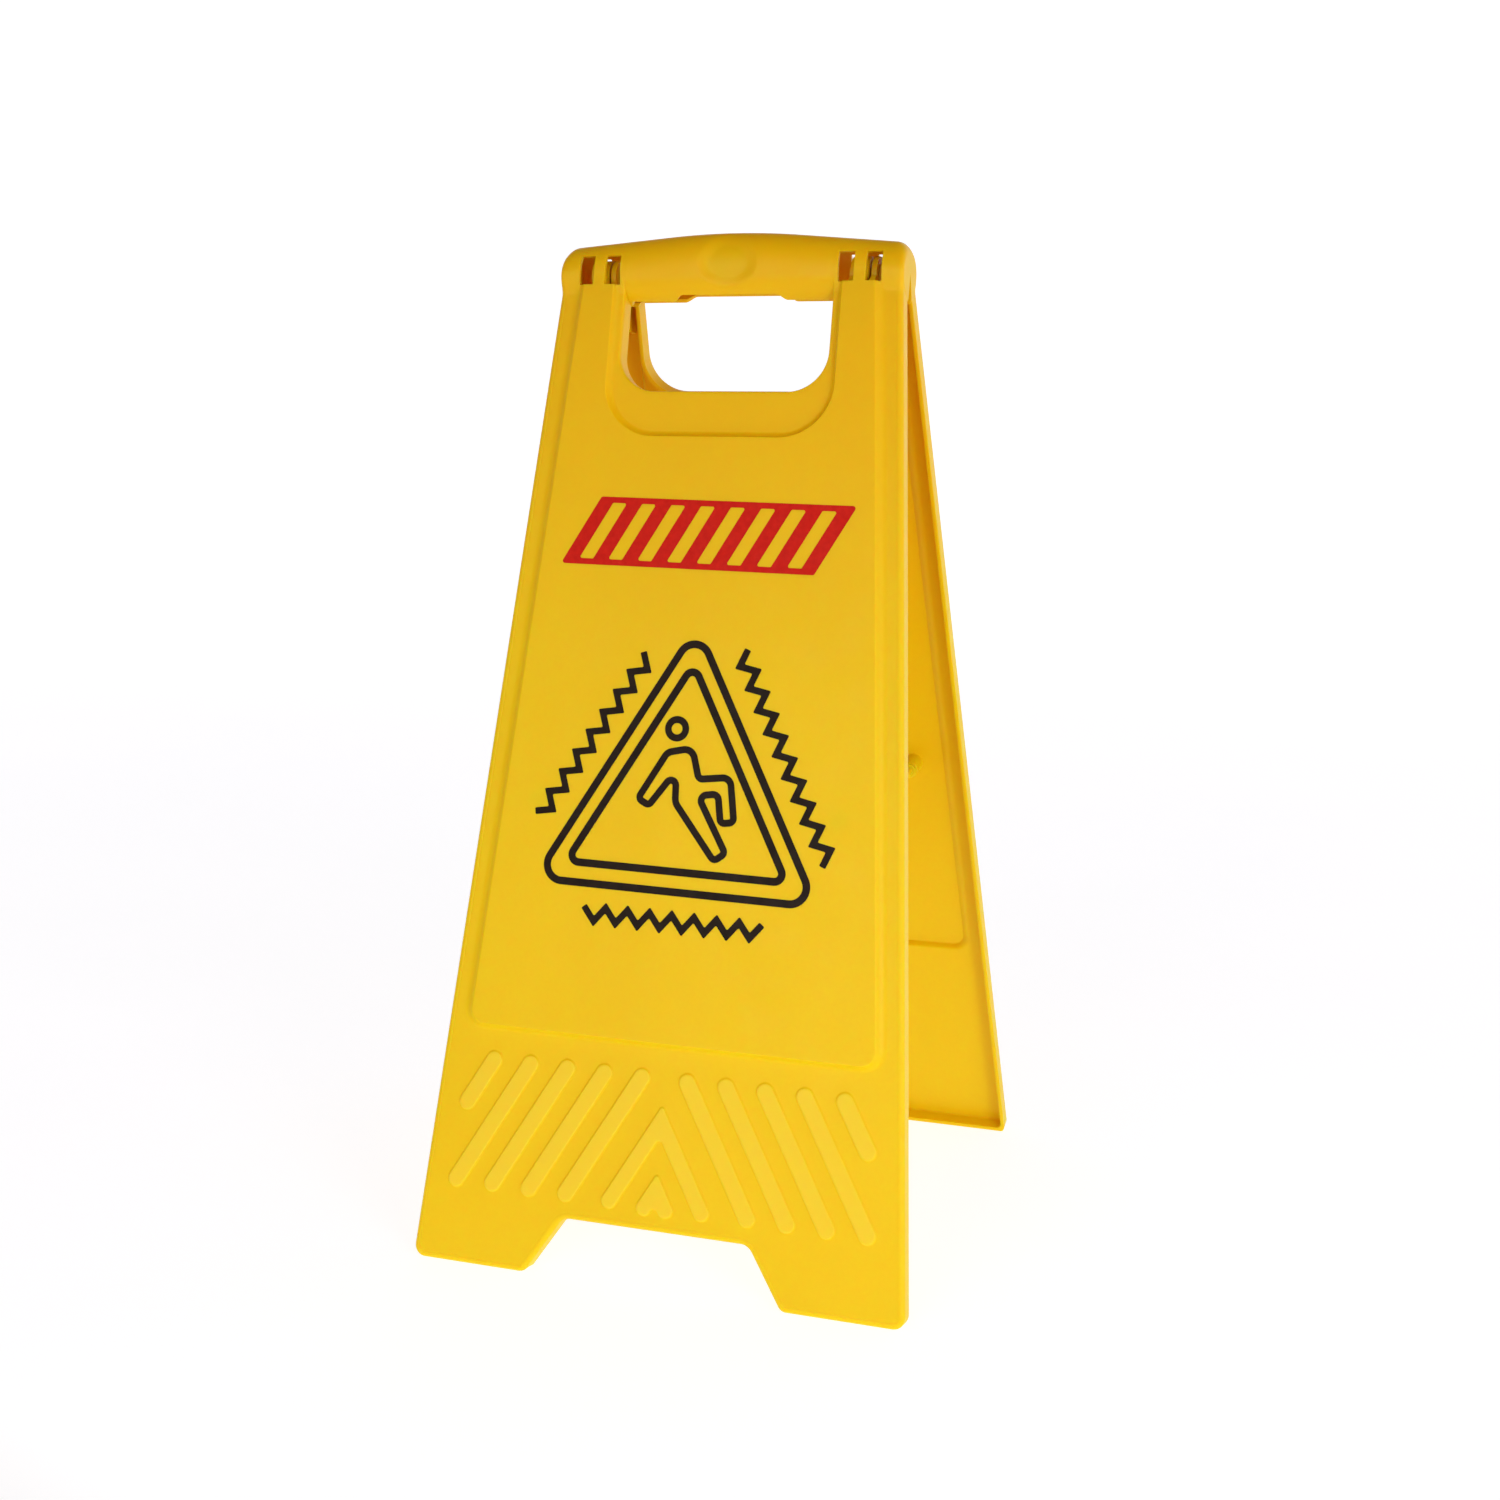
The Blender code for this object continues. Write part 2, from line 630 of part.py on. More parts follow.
def zigzag_outlines(start, end):
    """Even zigzag line between two points."""
    start = Vector(start)
    end = Vector(end)
    along = (end - start).normalized()
    across = Vector((-along.y, along.x))
    steps = round((end - start).length / ZIGZAG_STEP)
    points = [start.lerp(end, step / steps) + across * ZIGZAG_HEIGHT * (-1) ** step for step in range(steps + 1)]
    return ribbon(points, ZIGZAG_LINE, False)


def print_meshes():
    """Printed marks on one leaf, by name, with their ink."""
    head = [circle(HEAD_CENTRE, HEAD_RADIUS, 18), circle(HEAD_CENTRE, HEAD_RADIUS - FIGURE_LINE, 14)]
    return {
        "red_band": (film(band_outlines()), "red_ink"),
        "outer_triangle": (film(triangle_outlines(*OUTER_TRIANGLE)), "black_ink"),
        "inner_triangle": (film(triangle_outlines(*INNER_TRIANGLE)), "black_ink"),
        "figure_head": (film(head), "black_ink"),
        "figure_body": (film(figure_outlines()), "black_ink"),
        "left_mark": (film(zigzag_outlines((-0.0865, -0.3273), (-0.0279, -0.2294))), "black_ink"),
        "right_mark": (film(zigzag_outlines((0.0284, -0.2241), (0.0910, -0.3400))), "black_ink"),
        "bottom_mark": (film(zigzag_outlines((-0.0537, -0.3818), (0.0553, -0.3818))), "black_ink"),
    }


def leaf_frame(name, turn):
    """Empty on the hinge axis that carries a leaf and what is fixed to it."""
    frame = bpy.data.objects.new(name, None)
    frame.location = (0.0, 0.0, HINGE_HEIGHT)
    frame.rotation_euler = (math.pi / 2 - HALF_ANGLE, 0.0, turn)
    frame.empty_display_size = 0.05
    bpy.context.scene.collection.objects.link(frame)
    return frame


def place(name, mesh, material, frame, group):
    """Add one named piece with its own material to a leaf's frame."""
    own_mesh = mesh.copy()
    own_mesh.name = name
    own_mesh.materials.clear()
    own_mesh.materials.append(material)
    own_mesh.shade_smooth()
    own_mesh.set_sharp_from_angle(angle=math.radians(32))
    piece = bpy.data.objects.new(name, own_mesh)
    piece.parent = frame
    group.objects.link(piece)
    return piece


def build():
    reset_scene()
    group = new_collection("wet_floor_sign")
    inks = {"red_ink": (RED, 0.45), "black_ink": (BLACK, 0.45)}
    leaf = leaf_mesh()
    pin = pin_mesh()
    retainer = retainer_mesh()
    peg = peg_mesh()
    prints = print_meshes()
    for side, pin_side, turn in (("front", "right", 0.0), ("rear", "left", math.pi)):
        frame = leaf_frame(f"{side}_frame", turn)
        yellow = new_material(f"{side}_leaf", YELLOW, 0.38)
        place(f"{side}_leaf", leaf, yellow, frame, group)
        peg_plastic = new_material(f"{side}_closing_peg", YELLOW, 0.38)
        place(f"{side}_closing_peg", peg, peg_plastic, frame, group)
        pin_steel = new_material(f"{pin_side}_hinge_pin", STEEL, 0.3, 1.0)
        place(f"{pin_side}_hinge_pin", pin, pin_steel, frame, group)
        retainer_steel = new_material(f"{pin_side}_pin_retainer", STEEL, 0.35, 1.0)
        place(f"{pin_side}_pin_retainer", retainer, retainer_steel, frame, group)
        for label, (mesh, ink) in prints.items():
            colour, roughness = inks[ink]
            ink_material = new_material(f"{side}_{label}", colour, roughness)
            place(f"{side}_{label}", mesh, ink_material, frame, group)


build()
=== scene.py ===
"""Looks of the folding floor sign: finely moulded leaves, inks, steel and studio light around the frame.

Each leaf is shaped lying flat, in millimetres: x along the hinge, y up the leaf with the hinge axis at y = 0,
and z out of the leaf. It is then stood up on the hinge axis, in the frame's metres.
"""

import json
import math

import bmesh
import bpy
from mathutils import Matrix, Vector
from mathutils.geometry import delaunay_2d_cdt


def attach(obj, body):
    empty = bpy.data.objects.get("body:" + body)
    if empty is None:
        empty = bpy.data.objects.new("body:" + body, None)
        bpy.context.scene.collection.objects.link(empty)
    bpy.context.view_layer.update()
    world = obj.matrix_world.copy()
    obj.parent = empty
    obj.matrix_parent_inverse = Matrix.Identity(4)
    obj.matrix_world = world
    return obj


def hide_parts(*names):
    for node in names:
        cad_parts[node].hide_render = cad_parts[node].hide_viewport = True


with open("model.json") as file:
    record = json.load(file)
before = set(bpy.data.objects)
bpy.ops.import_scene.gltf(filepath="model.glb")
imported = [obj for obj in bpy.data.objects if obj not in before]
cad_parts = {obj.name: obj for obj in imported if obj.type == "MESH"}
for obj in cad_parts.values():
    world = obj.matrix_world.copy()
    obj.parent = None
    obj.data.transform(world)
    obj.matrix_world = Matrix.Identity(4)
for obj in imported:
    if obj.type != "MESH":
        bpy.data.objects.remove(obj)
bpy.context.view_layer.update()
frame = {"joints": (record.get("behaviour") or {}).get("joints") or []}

# Stance
MILLIMETRE = 0.001
HINGE_HEIGHT = frame["joints"][0]["pos_m"][2] / MILLIMETRE
HALF_ANGLE = math.radians(13.96)      # each leaf leans this far from the vertical
TURN = {"front": 0.0, "rear": math.pi}

# Leaf outline
BASE_HALF_WIDTH = 150.0
TOP_HALF_WIDTH = 104.2                # at the hinge axis
LEAF_LENGTH = 593.0
EDGE_SLOPE = (BASE_HALF_WIDTH - TOP_HALF_WIDTH) / LEAF_LENGTH
LEAF_TOP = 6.0                        # the skin runs up into the carrying bar
FOOT_END = -592.9
FOOT_CORNER = 7.0
FOOT_INNER_CORNER = 6.0
NOTCH_TOP = -558.7
NOTCH_TOP_HALF_WIDTH = 56.5
NOTCH_BOTTOM_HALF_WIDTH = 78.5
NOTCH_CORNER = 8.0
OPENING_HALF_WIDTH = 64.0
OPENING_BOTTOM = -71.8
OPENING_CORNER = 23.5

# Leaf section
RIM_FACE = 2.0
SKIN_FACE = 14.0
SKIN_BACK = 11.5
WALL = 2.5
EDGE_ROLL = 3.1                       # rounded outer edge
OPENING_ROLL = 1.2                    # the same edge is narrower round the handle opening
GROOVE_DEPTH = 0.14
GROOVE_STEP = 0.4
SOLE_RISE = (SKIN_FACE - RIM_FACE) * math.tan(HALF_ANGLE)

# Raised print panel
PANEL_RISE = 3.5
PANEL_FACE = SKIN_FACE + PANEL_RISE
PANEL_INSET = 8.5
PANEL_TOP = 5.0
PANEL_BOTTOM = -455.4
PANEL_CORNER = 14.0
PANEL_SLOPE = 7.6                     # width of the sloping wall
COLLAR_SLOPE = 4.2                    # and round the handle opening and at the bottom
SLOPE_BEND = (0.81, 0.79)             # share of the wall, across and up, that is hollow
SLOPE_CORNER = (0.905, 1.0)           # and the corner that is rounded off after it
SLOPE_HOLLOW = 2.2                    # power with which the hollow rises
COLLAR_HALF_WIDTH = 66.4
COLLAR_BOTTOM = -95.8
COLLAR_CORNER = 28.0
POCKET_RISE = 3.2                     # the panel is hollow behind
POCKET_INSET = 1.8
POCKET_SLOPE = 6.8
POCKET_COLLAR_SLOPE = 3.2

# Carrying bar
BAR_RADIUS = 17.5
BAR_HALF_LENGTH = 105.5
BAR_CROWN = 7.2
BAR_CROWN_ROUND = 40.0
BAR_TOP_ROUND = 7.5
BAR_FRONT_ROUND = 2.5
BAR_END_STEPS = (0.85, 0.6, 0.35, 0.1, 0.02)    # shares of the radius, in rings across the flat ends
BAR_UPPER_ANGLE = math.radians(90 - 0.65) - HALF_ANGLE
BAR_LOWER_ANGLE = math.radians(-88)
HAND_EDGE_ANGLE = math.radians(-70)   # lower edge over the handle opening
HAND_EDGE_HALF_WIDTH = OPENING_HALF_WIDTH - 0.8
GRIP_EDGE_ANGLE = math.radians(-53.1)
GRIP_HALF_WIDTH = 28.8
GRIP_RAMP = 6.5
DISH_CENTRE = 2.7
DISH_RADII = (19.4, 14.5)
DISH_DEPTH = 1.6
DISH_EDGE = 0.45                      # share of its radius in which it deepens
BLEND = 4.0                           # softness of the hollow corner where the border meets the bar
PANEL_BLEND = 0.3
BLEND_BOTTOM = -22.0                  # the skin stays flat below this
BLEND_ROW = 0.7
SKIN_LEAD = 0.02                      # the leaf's skin lies this far over the bar
SKIN_DIVE = 0.06                      # and sinks under it above the hinge axis, per millimetre

# Hinge
WINDOWS = ((66.9, 76.5), (83.5, 92.7))
WINDOW_HALF_HEIGHT = 8.8
WINDOW_CORNER = 0.6
KNUCKLE_RADIUS = 10.0
KNUCKLES = ((74.0, 3.3), (86.5, 3.3), (-80.1, 6.2))
PIN_RADIUS = 3.0
PIN_END = 91.0
PIN_HEAD_RADIUS = 4.8
PIN_HEAD = 1.6                        # its thickness
CLEARANCE = 0.3
GUSSET = ((4.5, -33.0), (16.0, -37.0), (16.0, -9.4))

# Closing peg and socket
PEG_X = 92.0
PEG_Y = -317.0
BOSS_RADIUS = 5.5
BOSS_FACE = 3.0
SOCKET_RADIUS = 3.1
PEG_HOLE_RADIUS = 2.5

# Hazard stripes
STRIPE_WIDTH = 10.0
STRIPE_TOP = -472.0
STRIPE_BOTTOM = -543.7
STRIPE_FIRST_X = 13.9
STRIPE_PITCH = 23.3
STRIPE_COUNT = 4
STRIPE_SHORT_BOTTOM = -498.0
STRIPE_DIRECTION = Vector((math.sin(math.radians(30)), -math.cos(math.radians(30))))
STRIPE_SECTION = ((1.0, 0.0), (0.45, 0.1), (0.1, 0.36), (-0.2, 0.72), (-0.6, 0.94), (-1.1, 1.0))
STRIPE_PALE = (0.35, 0.8)             # height over the skin where the paler top, a painted highlight, begins and is full
CHEVRON_WIDTH = 9.2
CHEVRONS = ((-495.5, -544.3), (-534.3, -545.5))

# Printed marks
PRINT_LOW = PANEL_FACE - 0.03
PRINT_HIGH = PANEL_FACE + 0.05
PRINT_TURN = math.radians(-0.85)      # all the marks are printed a little askew
PRINT_PIVOT = Vector((0.0, -158.0))
BAND_HALF_WIDTH = 89.0
BAND_TOP = -137.1
BAND_BOTTOM = -177.6
BAND_RAIL = 3.5
BAND_LEAN = 22.0
BAND_BAR = 9.5
BAND_SPACES = 8
TRIANGLE_LINE = 4.5
TRIANGLE_RISE = 1.782
OUTER_TRIANGLE = (-364.4, 86.1, 9.6)
INNER_TRIANGLE = (-352.7, 67.4, 4.4)
HEAD_CENTRE = (-6.5, -270.5)
HEAD_RADIUS = 7.4
FIGURE_LINE = 4.1
ZIGZAG_LINE = 4.0
ZIGZAG_HEIGHT = 4.2
ZIGZAG_STEP = 7.0
LEFT_MARK = ((-86.5, -327.3), (-27.9, -229.4))
RIGHT_MARK = ((28.4, -224.1), (91.0, -340.0))
BOTTOM_MARK = ((-53.7, -381.8), (55.3, -381.8))

# Studio
GLOW = 0.83                           # light given off by the white floor and wall
GLOW_AHEAD = 0.25                     # share of it in front of the sign
GLOW_RANGE = (-0.95, -0.45)           # dimmed and full, in metres along the direction that follows
GLOW_DIRECTION = (0.35, 0.94, 0.0)

ARC_STEP = 1.0                        # about this far between points on an arc


def new_object(name, body):
    """Object from a bmesh, which is used up."""
    mesh = bpy.data.meshes.new(name)
    body.to_mesh(mesh)
    body.free()
    item = bpy.data.objects.new(name, mesh)
    bpy.context.scene.collection.objects.link(item)
    return item


def evaluated_mesh(item):
    bpy.context.view_layer.update()
    return bpy.data.meshes.new_from_object(item.evaluated_get(bpy.context.evaluated_depsgraph_get()))


def combine(base, tool, operation):
    """Apply one Boolean to the base and remove the tool."""
    modifier = base.modifiers.new("join", "BOOLEAN")
    modifier.operation = operation
    modifier.solver = "EXACT"
    modifier.object = tool
    mesh = evaluated_mesh(base)
    base.modifiers.clear()
    base.data = mesh
    bpy.data.objects.remove(tool)


def outline(corners, inset):
    """Points of an anticlockwise outline moved inwards by a distance for each kind of edge.

    A corner is (x, y, radius, kind of the edge that follows it). Every inset gives the same number of points.
    """
    points = []
    count = len(corners)
    for index, (x, y, radius, kind) in enumerate(corners):
        corner = Vector((x, y))
        before = corners[index - 1]
        arriving = (corner - Vector(before[:2])).normalized()
        leaving = (Vector(corners[(index + 1) % count][:2]) - corner).normalized()
        first = inset[before[3]]
        second = inset[kind]
        turn = arriving.cross(leaving)
        moved = corner + (leaving * first - arriving * second) / turn
        if radius == 0:
            points.append(moved)
            continue
        side = math.copysign(1.0, turn)
        bend = math.acos(max(-1.0, min(1.0, arriving.dot(leaving))))
        steps = max(5, round(bend * radius / ARC_STEP))
        new_radius = max(0.05, radius - side * (first + second) / 2)
        centre = moved + (leaving - arriving).normalized() * (new_radius / math.cos(bend / 2))
        start = Vector((arriving.y, -arriving.x)) * (side * new_radius)
        for step in range(steps + 1):
            points.append(centre + Matrix.Rotation(side * bend * step / steps, 2) @ start)
    return points


def plain(corners):
    """Outline of (x, y, radius) corners, with no inset."""
    return outline([(*corner, "edge") for corner in corners], {"edge": 0.0})


def edge_x(y):
    """Half width of the leaf at a height on it."""
    return TOP_HALF_WIDTH - EDGE_SLOPE * y


def leaf_corners():
    """Leaf outline: 'outer' edges, the 'foot' on the floor, the hidden 'top' and the handle 'opening'."""
    right = [
        (NOTCH_TOP_HALF_WIDTH, NOTCH_TOP, NOTCH_CORNER, "outer"),
        (NOTCH_BOTTOM_HALF_WIDTH, FOOT_END, FOOT_INNER_CORNER, "foot"),
        (edge_x(FOOT_END), FOOT_END, FOOT_CORNER, "outer"),
        (edge_x(LEAF_TOP), LEAF_TOP, 0.0, "top"),
        (OPENING_HALF_WIDTH, LEAF_TOP, 0.0, "opening"),
        (OPENING_HALF_WIDTH, OPENING_BOTTOM, OPENING_CORNER, "opening"),
    ]
    return closed_by_mirror(right, "outer")


def panel_corners():
    """Print panel outline: 'wide' walls at the sides, 'narrow' ones elsewhere, and the hidden 'top'."""
    right = [
        (edge_x(PANEL_BOTTOM) - PANEL_INSET, PANEL_BOTTOM, PANEL_CORNER, "wide"),
        (edge_x(PANEL_TOP) - PANEL_INSET, PANEL_TOP, 0.0, "top"),
        (COLLAR_HALF_WIDTH, PANEL_TOP, 0.0, "narrow"),
        (COLLAR_HALF_WIDTH, COLLAR_BOTTOM, COLLAR_CORNER, "narrow"),
    ]
    return closed_by_mirror(right, "narrow")


def closed_by_mirror(right, bottom):
    """Whole outline from its right half, which starts at the bottom; the last edge crosses the middle."""
    kinds = [corner[3] for corner in right[:-1]]
    left = []
    for (x, y, radius, _), kind in zip(reversed(right), list(reversed(kinds)) + [bottom]):
        left.append((-x, y, radius, kind))
    return right + left


def ring(body, points, height):
    return [body.verts.new((point[0], point[1], height)) for point in points]


def skin(body, first, second):
    """Band of faces between two rings with the same number of points."""
    for index in range(len(first)):
        body.faces.new((first[index - 1], first[index], second[index], second[index - 1]))


def swept(body, corners, section):
    """Rings round an outline for each (insets, height) of a section; returns the first and last ring."""
    rows = [ring(body, outline(corners, inset), height) for inset, height in section]
    for first, second in zip(rows, rows[1:]):
        skin(body, first, second)
    return rows[0], rows[-1]


def sides(face):
    """The sides of a face, as pairs of vertex numbers in any order."""
    return [frozenset(pair) for pair in zip(face, face[1:] + face[:1])]


def inner_faces(faces, walls):
    """Triangles inside the walls, found by walking in from the hull; each wall crossed changes sides."""
    beside = {}
    for index, face in enumerate(faces):
        for side in sides(face):
            beside.setdefault(side, []).append(index)
    inside = {pair[0]: side in walls for side, pair in beside.items() if len(pair) == 1}
    waiting = list(inside)
    while waiting:
        index = waiting.pop()
        for side in sides(faces[index]):
            for other in beside[side]:
                if other not in inside:
                    inside[other] = inside[index] != (side in walls)
                    waiting.append(other)
    return [face for index, face in enumerate(faces) if inside[index]]


def fill(body, loops):
    """Flat faces inside the first ring of vertices and outside the others."""
    verts = [vert for loop in loops for vert in loop]
    edges = []
    start = 0
    for loop in loops:
        edges += [(start + index, start + (index + 1) % len(loop)) for index in range(len(loop))]
        start += len(loop)
    flat = [vert.co.to_2d() for vert in verts]
    _, lines, faces, sources, line_sources, _ = delaunay_2d_cdt(flat, edges, [], 0, 0.00001)
    walls = {frozenset(line) for line, source in zip(lines, line_sources) if source}
    for face in inner_faces(faces, walls):
        body.faces.new([verts[sources[index][0]] for index in face])


def prism(loops, low, high):
    """Closed plate between two heights; loops after the first are holes."""
    body = bmesh.new()
    low_rings = [ring(body, loop, low) for loop in loops]
    high_rings = [ring(body, loop, high) for loop in loops]
    for first, second in zip(low_rings, high_rings):
        skin(body, first, second)
    fill(body, low_rings)
    fill(body, high_rings)
    bmesh.ops.recalc_face_normals(body, faces=body.faces)
    return body


def quarter_drop(distance, radius):
    """How far a rounded corner falls back at a distance before the end."""
    if distance >= radius:
        return 0.0
    return radius - math.sqrt(max(0.0, radius ** 2 - (radius - distance) ** 2))


def crown(x):
    """Height of the bar's crown along its length: straight slopes with a rounded peak."""
    away = abs(x)
    if away < BAR_CROWN_ROUND:
        away = (away ** 2 / BAR_CROWN_ROUND + BAR_CROWN_ROUND) / 2
    peak = BAR_CROWN_ROUND / 2
    return BAR_CROWN * (1 - (away - peak) / (BAR_HALF_LENGTH - peak))


def bar_radius(x, angle):
    """Radius of the carrying bar: round below, crowned on top, with rounded ends."""
    to_end = max(0.0, BAR_HALF_LENGTH - abs(x))
    front = BAR_RADIUS - quarter_drop(to_end, BAR_FRONT_ROUND)
    top = BAR_RADIUS + crown(x) - quarter_drop(to_end, BAR_TOP_ROUND)
    upward = math.sin(max(0.0, angle + HALF_ANGLE)) ** 2
    return front * (1 - upward) + top * upward


def bar_height(x, y):
    """Height of the bar's surface over a point of the leaf."""
    radius = BAR_RADIUS
    angle = 0.0
    for _ in range(5):
        angle = math.asin(max(-1.0, min(1.0, y / radius)))
        radius = bar_radius(x, angle)
    return radius * math.cos(angle)


def smooth_step(value):
    value = max(0.0, min(1.0, value))
    return value * value * (3 - 2 * value)


def dish(x, angle):
    """Depth of the shallow thumb pad in the middle of the bar."""
    up = BAR_RADIUS * math.sin(angle) - DISH_CENTRE
    away = math.hypot(x / DISH_RADII[0], up / DISH_RADII[1])
    return DISH_DEPTH * smooth_step((1 - away) / DISH_EDGE)


def blended(x, y, height):
    """Lift a point of the skin so that it runs softly into the bar, and under it above the hinge axis."""
    over_bar = bar_height(x, y) + SKIN_LEAD
    share = min(1.0, (PANEL_FACE - height) / PANEL_RISE)
    blend = PANEL_BLEND + (BLEND - PANEL_BLEND) * share
    spare = max(0.0, blend - abs(height - over_bar))
    lifted = max(height, over_bar) + spare ** 2 / (4 * blend)
    if y > 0:
        lifted = min(lifted, over_bar - SKIN_DIVE * y)
    return lifted


def cut_rows(body):
    """Add rows of vertices across the leaf where it runs into the bar."""
    row = BLEND_BOTTOM + 1.0
    while row < LEAF_TOP - 0.5:
        geometry = list(body.verts) + list(body.edges) + list(body.faces)
        bmesh.ops.bisect_plane(body, geom=geometry, plane_co=(0, row, 0), plane_no=(0, 1, 0), dist=0.0001)
        row += BLEND_ROW


def insets(outer, opening, foot, top):
    return {"outer": outer, "opening": opening, "foot": foot, "top": top}


def front_section():
    """Rolled edge, then a faint groove inside it."""
    section = []
    steps = 9
    for step in range(steps + 1):
        angle = math.pi / 2 * step / steps
        share = 1 - math.cos(angle)
        height = SKIN_FACE - EDGE_ROLL * (1 - math.sin(angle))
        section.append((insets(EDGE_ROLL * share, OPENING_ROLL * share, EDGE_ROLL * share, 0.2 * share),
                        height))
    for index, share in enumerate((0.25, 1.0, 0.25, 0.0), start=1):
        outer = EDGE_ROLL + GROOVE_STEP * index
        narrow = OPENING_ROLL + 0.14 * index
        section.append((insets(outer, narrow, outer, 0.2 + 0.05 * index), SKIN_FACE - GROOVE_DEPTH * share))
    return section


def back_section():
    """Inner fillet, inside of the side wall, rim flange and the outside of the side wall."""
    inner = ((3.7, 3.2, SKIN_BACK), (3.1, 2.9, 11.36), (2.7, 2.65, 11.0), (WALL, WALL, 10.4),
             (WALL, WALL, 2.5), (2.35, 2.35, 2.13), (2.0, 2.0, RIM_FACE))
    section = [(insets(outer, opening, outer + SOLE_RISE, 0.1 * outer), height)
               for outer, opening, height in inner]
    for depth, height in ((0.5, RIM_FACE), (0.14, 2.14), (0.0, 2.5), (0.0, SKIN_FACE - EDGE_ROLL)):
        section.append((insets(depth, depth, depth, 0.1 * depth), height))
    return section


def slope_section(wide, narrow, start, low, rise):
    """Hollow sloping wall: it rises ever more steeply, then rounds over into the panel."""
    bend = Vector(SLOPE_BEND)
    corner = Vector(SLOPE_CORNER)
    steps = 10
    profile = [Vector((bend.x * step / steps, bend.y * (step / steps) ** SLOPE_HOLLOW))
               for step in range(steps + 1)]
    for step in range(1, 6):
        share = step / 5
        profile.append(bend.lerp(corner, share).lerp(corner.lerp(Vector((1.0, 1.0)), share), share))
    return [({"wide": start + wide * across, "narrow": start + narrow * across, "top": 0.1 + 0.2 * across},
             low + rise * up) for across, up in profile]


def stadium(start, end, width):
    """Outline of a bar with full round ends."""
    along = (end - start).normalized()
    points = []
    steps = 14
    for centre, heading in ((end, along), (start, -along)):
        first = math.atan2(heading.y, heading.x) - math.pi / 2
        for step in range(steps + 1):
            angle = first + math.pi * step / steps
            points.append(centre + Vector((math.cos(angle), math.sin(angle))) * (width / 2))
    return points


def chevron(apex_y, leg_y, spread):
    """Outline of a V standing on its two legs, widened by a spread all round."""
    along = STRIPE_DIRECTION
    across = Vector((-along.y, along.x))
    half = CHEVRON_WIDTH / 2
    rise = half / along.x
    end = Vector((0.0, apex_y)) + along * ((leg_y - apex_y) / along.y + half)
    outer = end + across * half
    inner = end - across * half
    full_round = half * 0.98
    corners = [(0.0, apex_y + rise, 1.5, "edge"), (-outer.x, outer.y, full_round, "edge"),
               (-inner.x, inner.y, full_round, "edge"), (0.0, apex_y - rise, 2.2, "edge"),
               (inner.x, inner.y, full_round, "edge"), (outer.x, outer.y, full_round, "edge")]
    return outline(corners, {"edge": -spread})


def stripe_outlines(spread):
    """All raised hazard stripes and chevrons, widened by a spread."""
    outlines = [chevron(apex_y, leg_y, spread) for apex_y, leg_y in CHEVRONS]
    for index in range(STRIPE_COUNT + 1):
        bottom = STRIPE_BOTTOM if index < STRIPE_COUNT else STRIPE_SHORT_BOTTOM
        start = Vector((STRIPE_FIRST_X + STRIPE_PITCH * index, STRIPE_TOP))
        end = start + STRIPE_DIRECTION * ((bottom - STRIPE_TOP) / STRIPE_DIRECTION.y)
        points = stadium(start, end, STRIPE_WIDTH + 2 * spread)
        outlines.append(points)
        outlines.append([Vector((-point.x, point.y)) for point in reversed(points)])
    return outlines


def front_face():
    """Open surface of the leaf's outside: border, panel and stripes, run softly into the bar."""
    body = bmesh.new()
    _, border = swept(body, leaf_corners(), front_section())
    panel_section = slope_section(PANEL_SLOPE, COLLAR_SLOPE, 0.0, SKIN_FACE, PANEL_RISE)
    panel_foot, panel_rim = swept(body, panel_corners(), panel_section)
    holes = [panel_foot]
    levels = [stripe_outlines(spread) for spread, _ in STRIPE_SECTION]
    for stripe in zip(*levels):
        rows = [ring(body, points, SKIN_FACE + height)
                for points, (_, height) in zip(stripe, STRIPE_SECTION)]
        for first, second in zip(rows, rows[1:]):
            skin(body, first, second)
        holes.append(rows[0])
        fill(body, [rows[-1]])
    fill(body, [border] + holes)
    fill(body, [panel_rim])
    cut_rows(body)
    for vert in body.verts:
        if vert.co.y > BLEND_BOTTOM and vert.co.z > SKIN_FACE - EDGE_ROLL + 0.001:
            vert.co.z = blended(*vert.co)
    return body


def back_face():
    """Open surface of the leaf's inside, with the side walls and the rim flange."""
    body = bmesh.new()
    floor, _ = swept(body, leaf_corners(), back_section())
    pocket_section = slope_section(POCKET_SLOPE, POCKET_COLLAR_SLOPE, POCKET_INSET, SKIN_BACK, POCKET_RISE)
    pocket_foot, pocket_rim = swept(body, panel_corners(), pocket_section)
    fill(body, [floor, pocket_foot])
    fill(body, [pocket_rim])
    cut_rows(body)
    return body


def floor_line(height):
    """Place up the leaf where it meets the floor, for a height out of the leaf."""
    return -(HINGE_HEIGHT + height * math.sin(HALF_ANGLE)) / math.cos(HALF_ANGLE)


def shell():
    """The leaf's closed shell without its bar, cut level with the floor."""
    body = front_face()
    add(body, back_face())
    bmesh.ops.remove_doubles(body, verts=body.verts, dist=0.0005)
    for vert in body.verts:
        vert.co.y = max(vert.co.y, floor_line(vert.co.z))
    bmesh.ops.recalc_face_normals(body, faces=body.faces)
    return new_object("shell", body)


def bar_stations():
    """Places along the bar, close together at the thumb pad and the rounded ends."""
    half = []
    place = 0.0
    while place < BAR_HALF_LENGTH - BAR_TOP_ROUND - 0.5:
        half.append(place)
        place += 0.8 if place < GRIP_HALF_WIDTH + GRIP_RAMP else 2.0
    steps = 12
    for step in range(steps + 1):
        half.append(BAR_HALF_LENGTH - BAR_TOP_ROUND * (1 - math.sin(math.pi / 2 * step / steps)))
    return [-place for place in reversed(half[1:])] + half


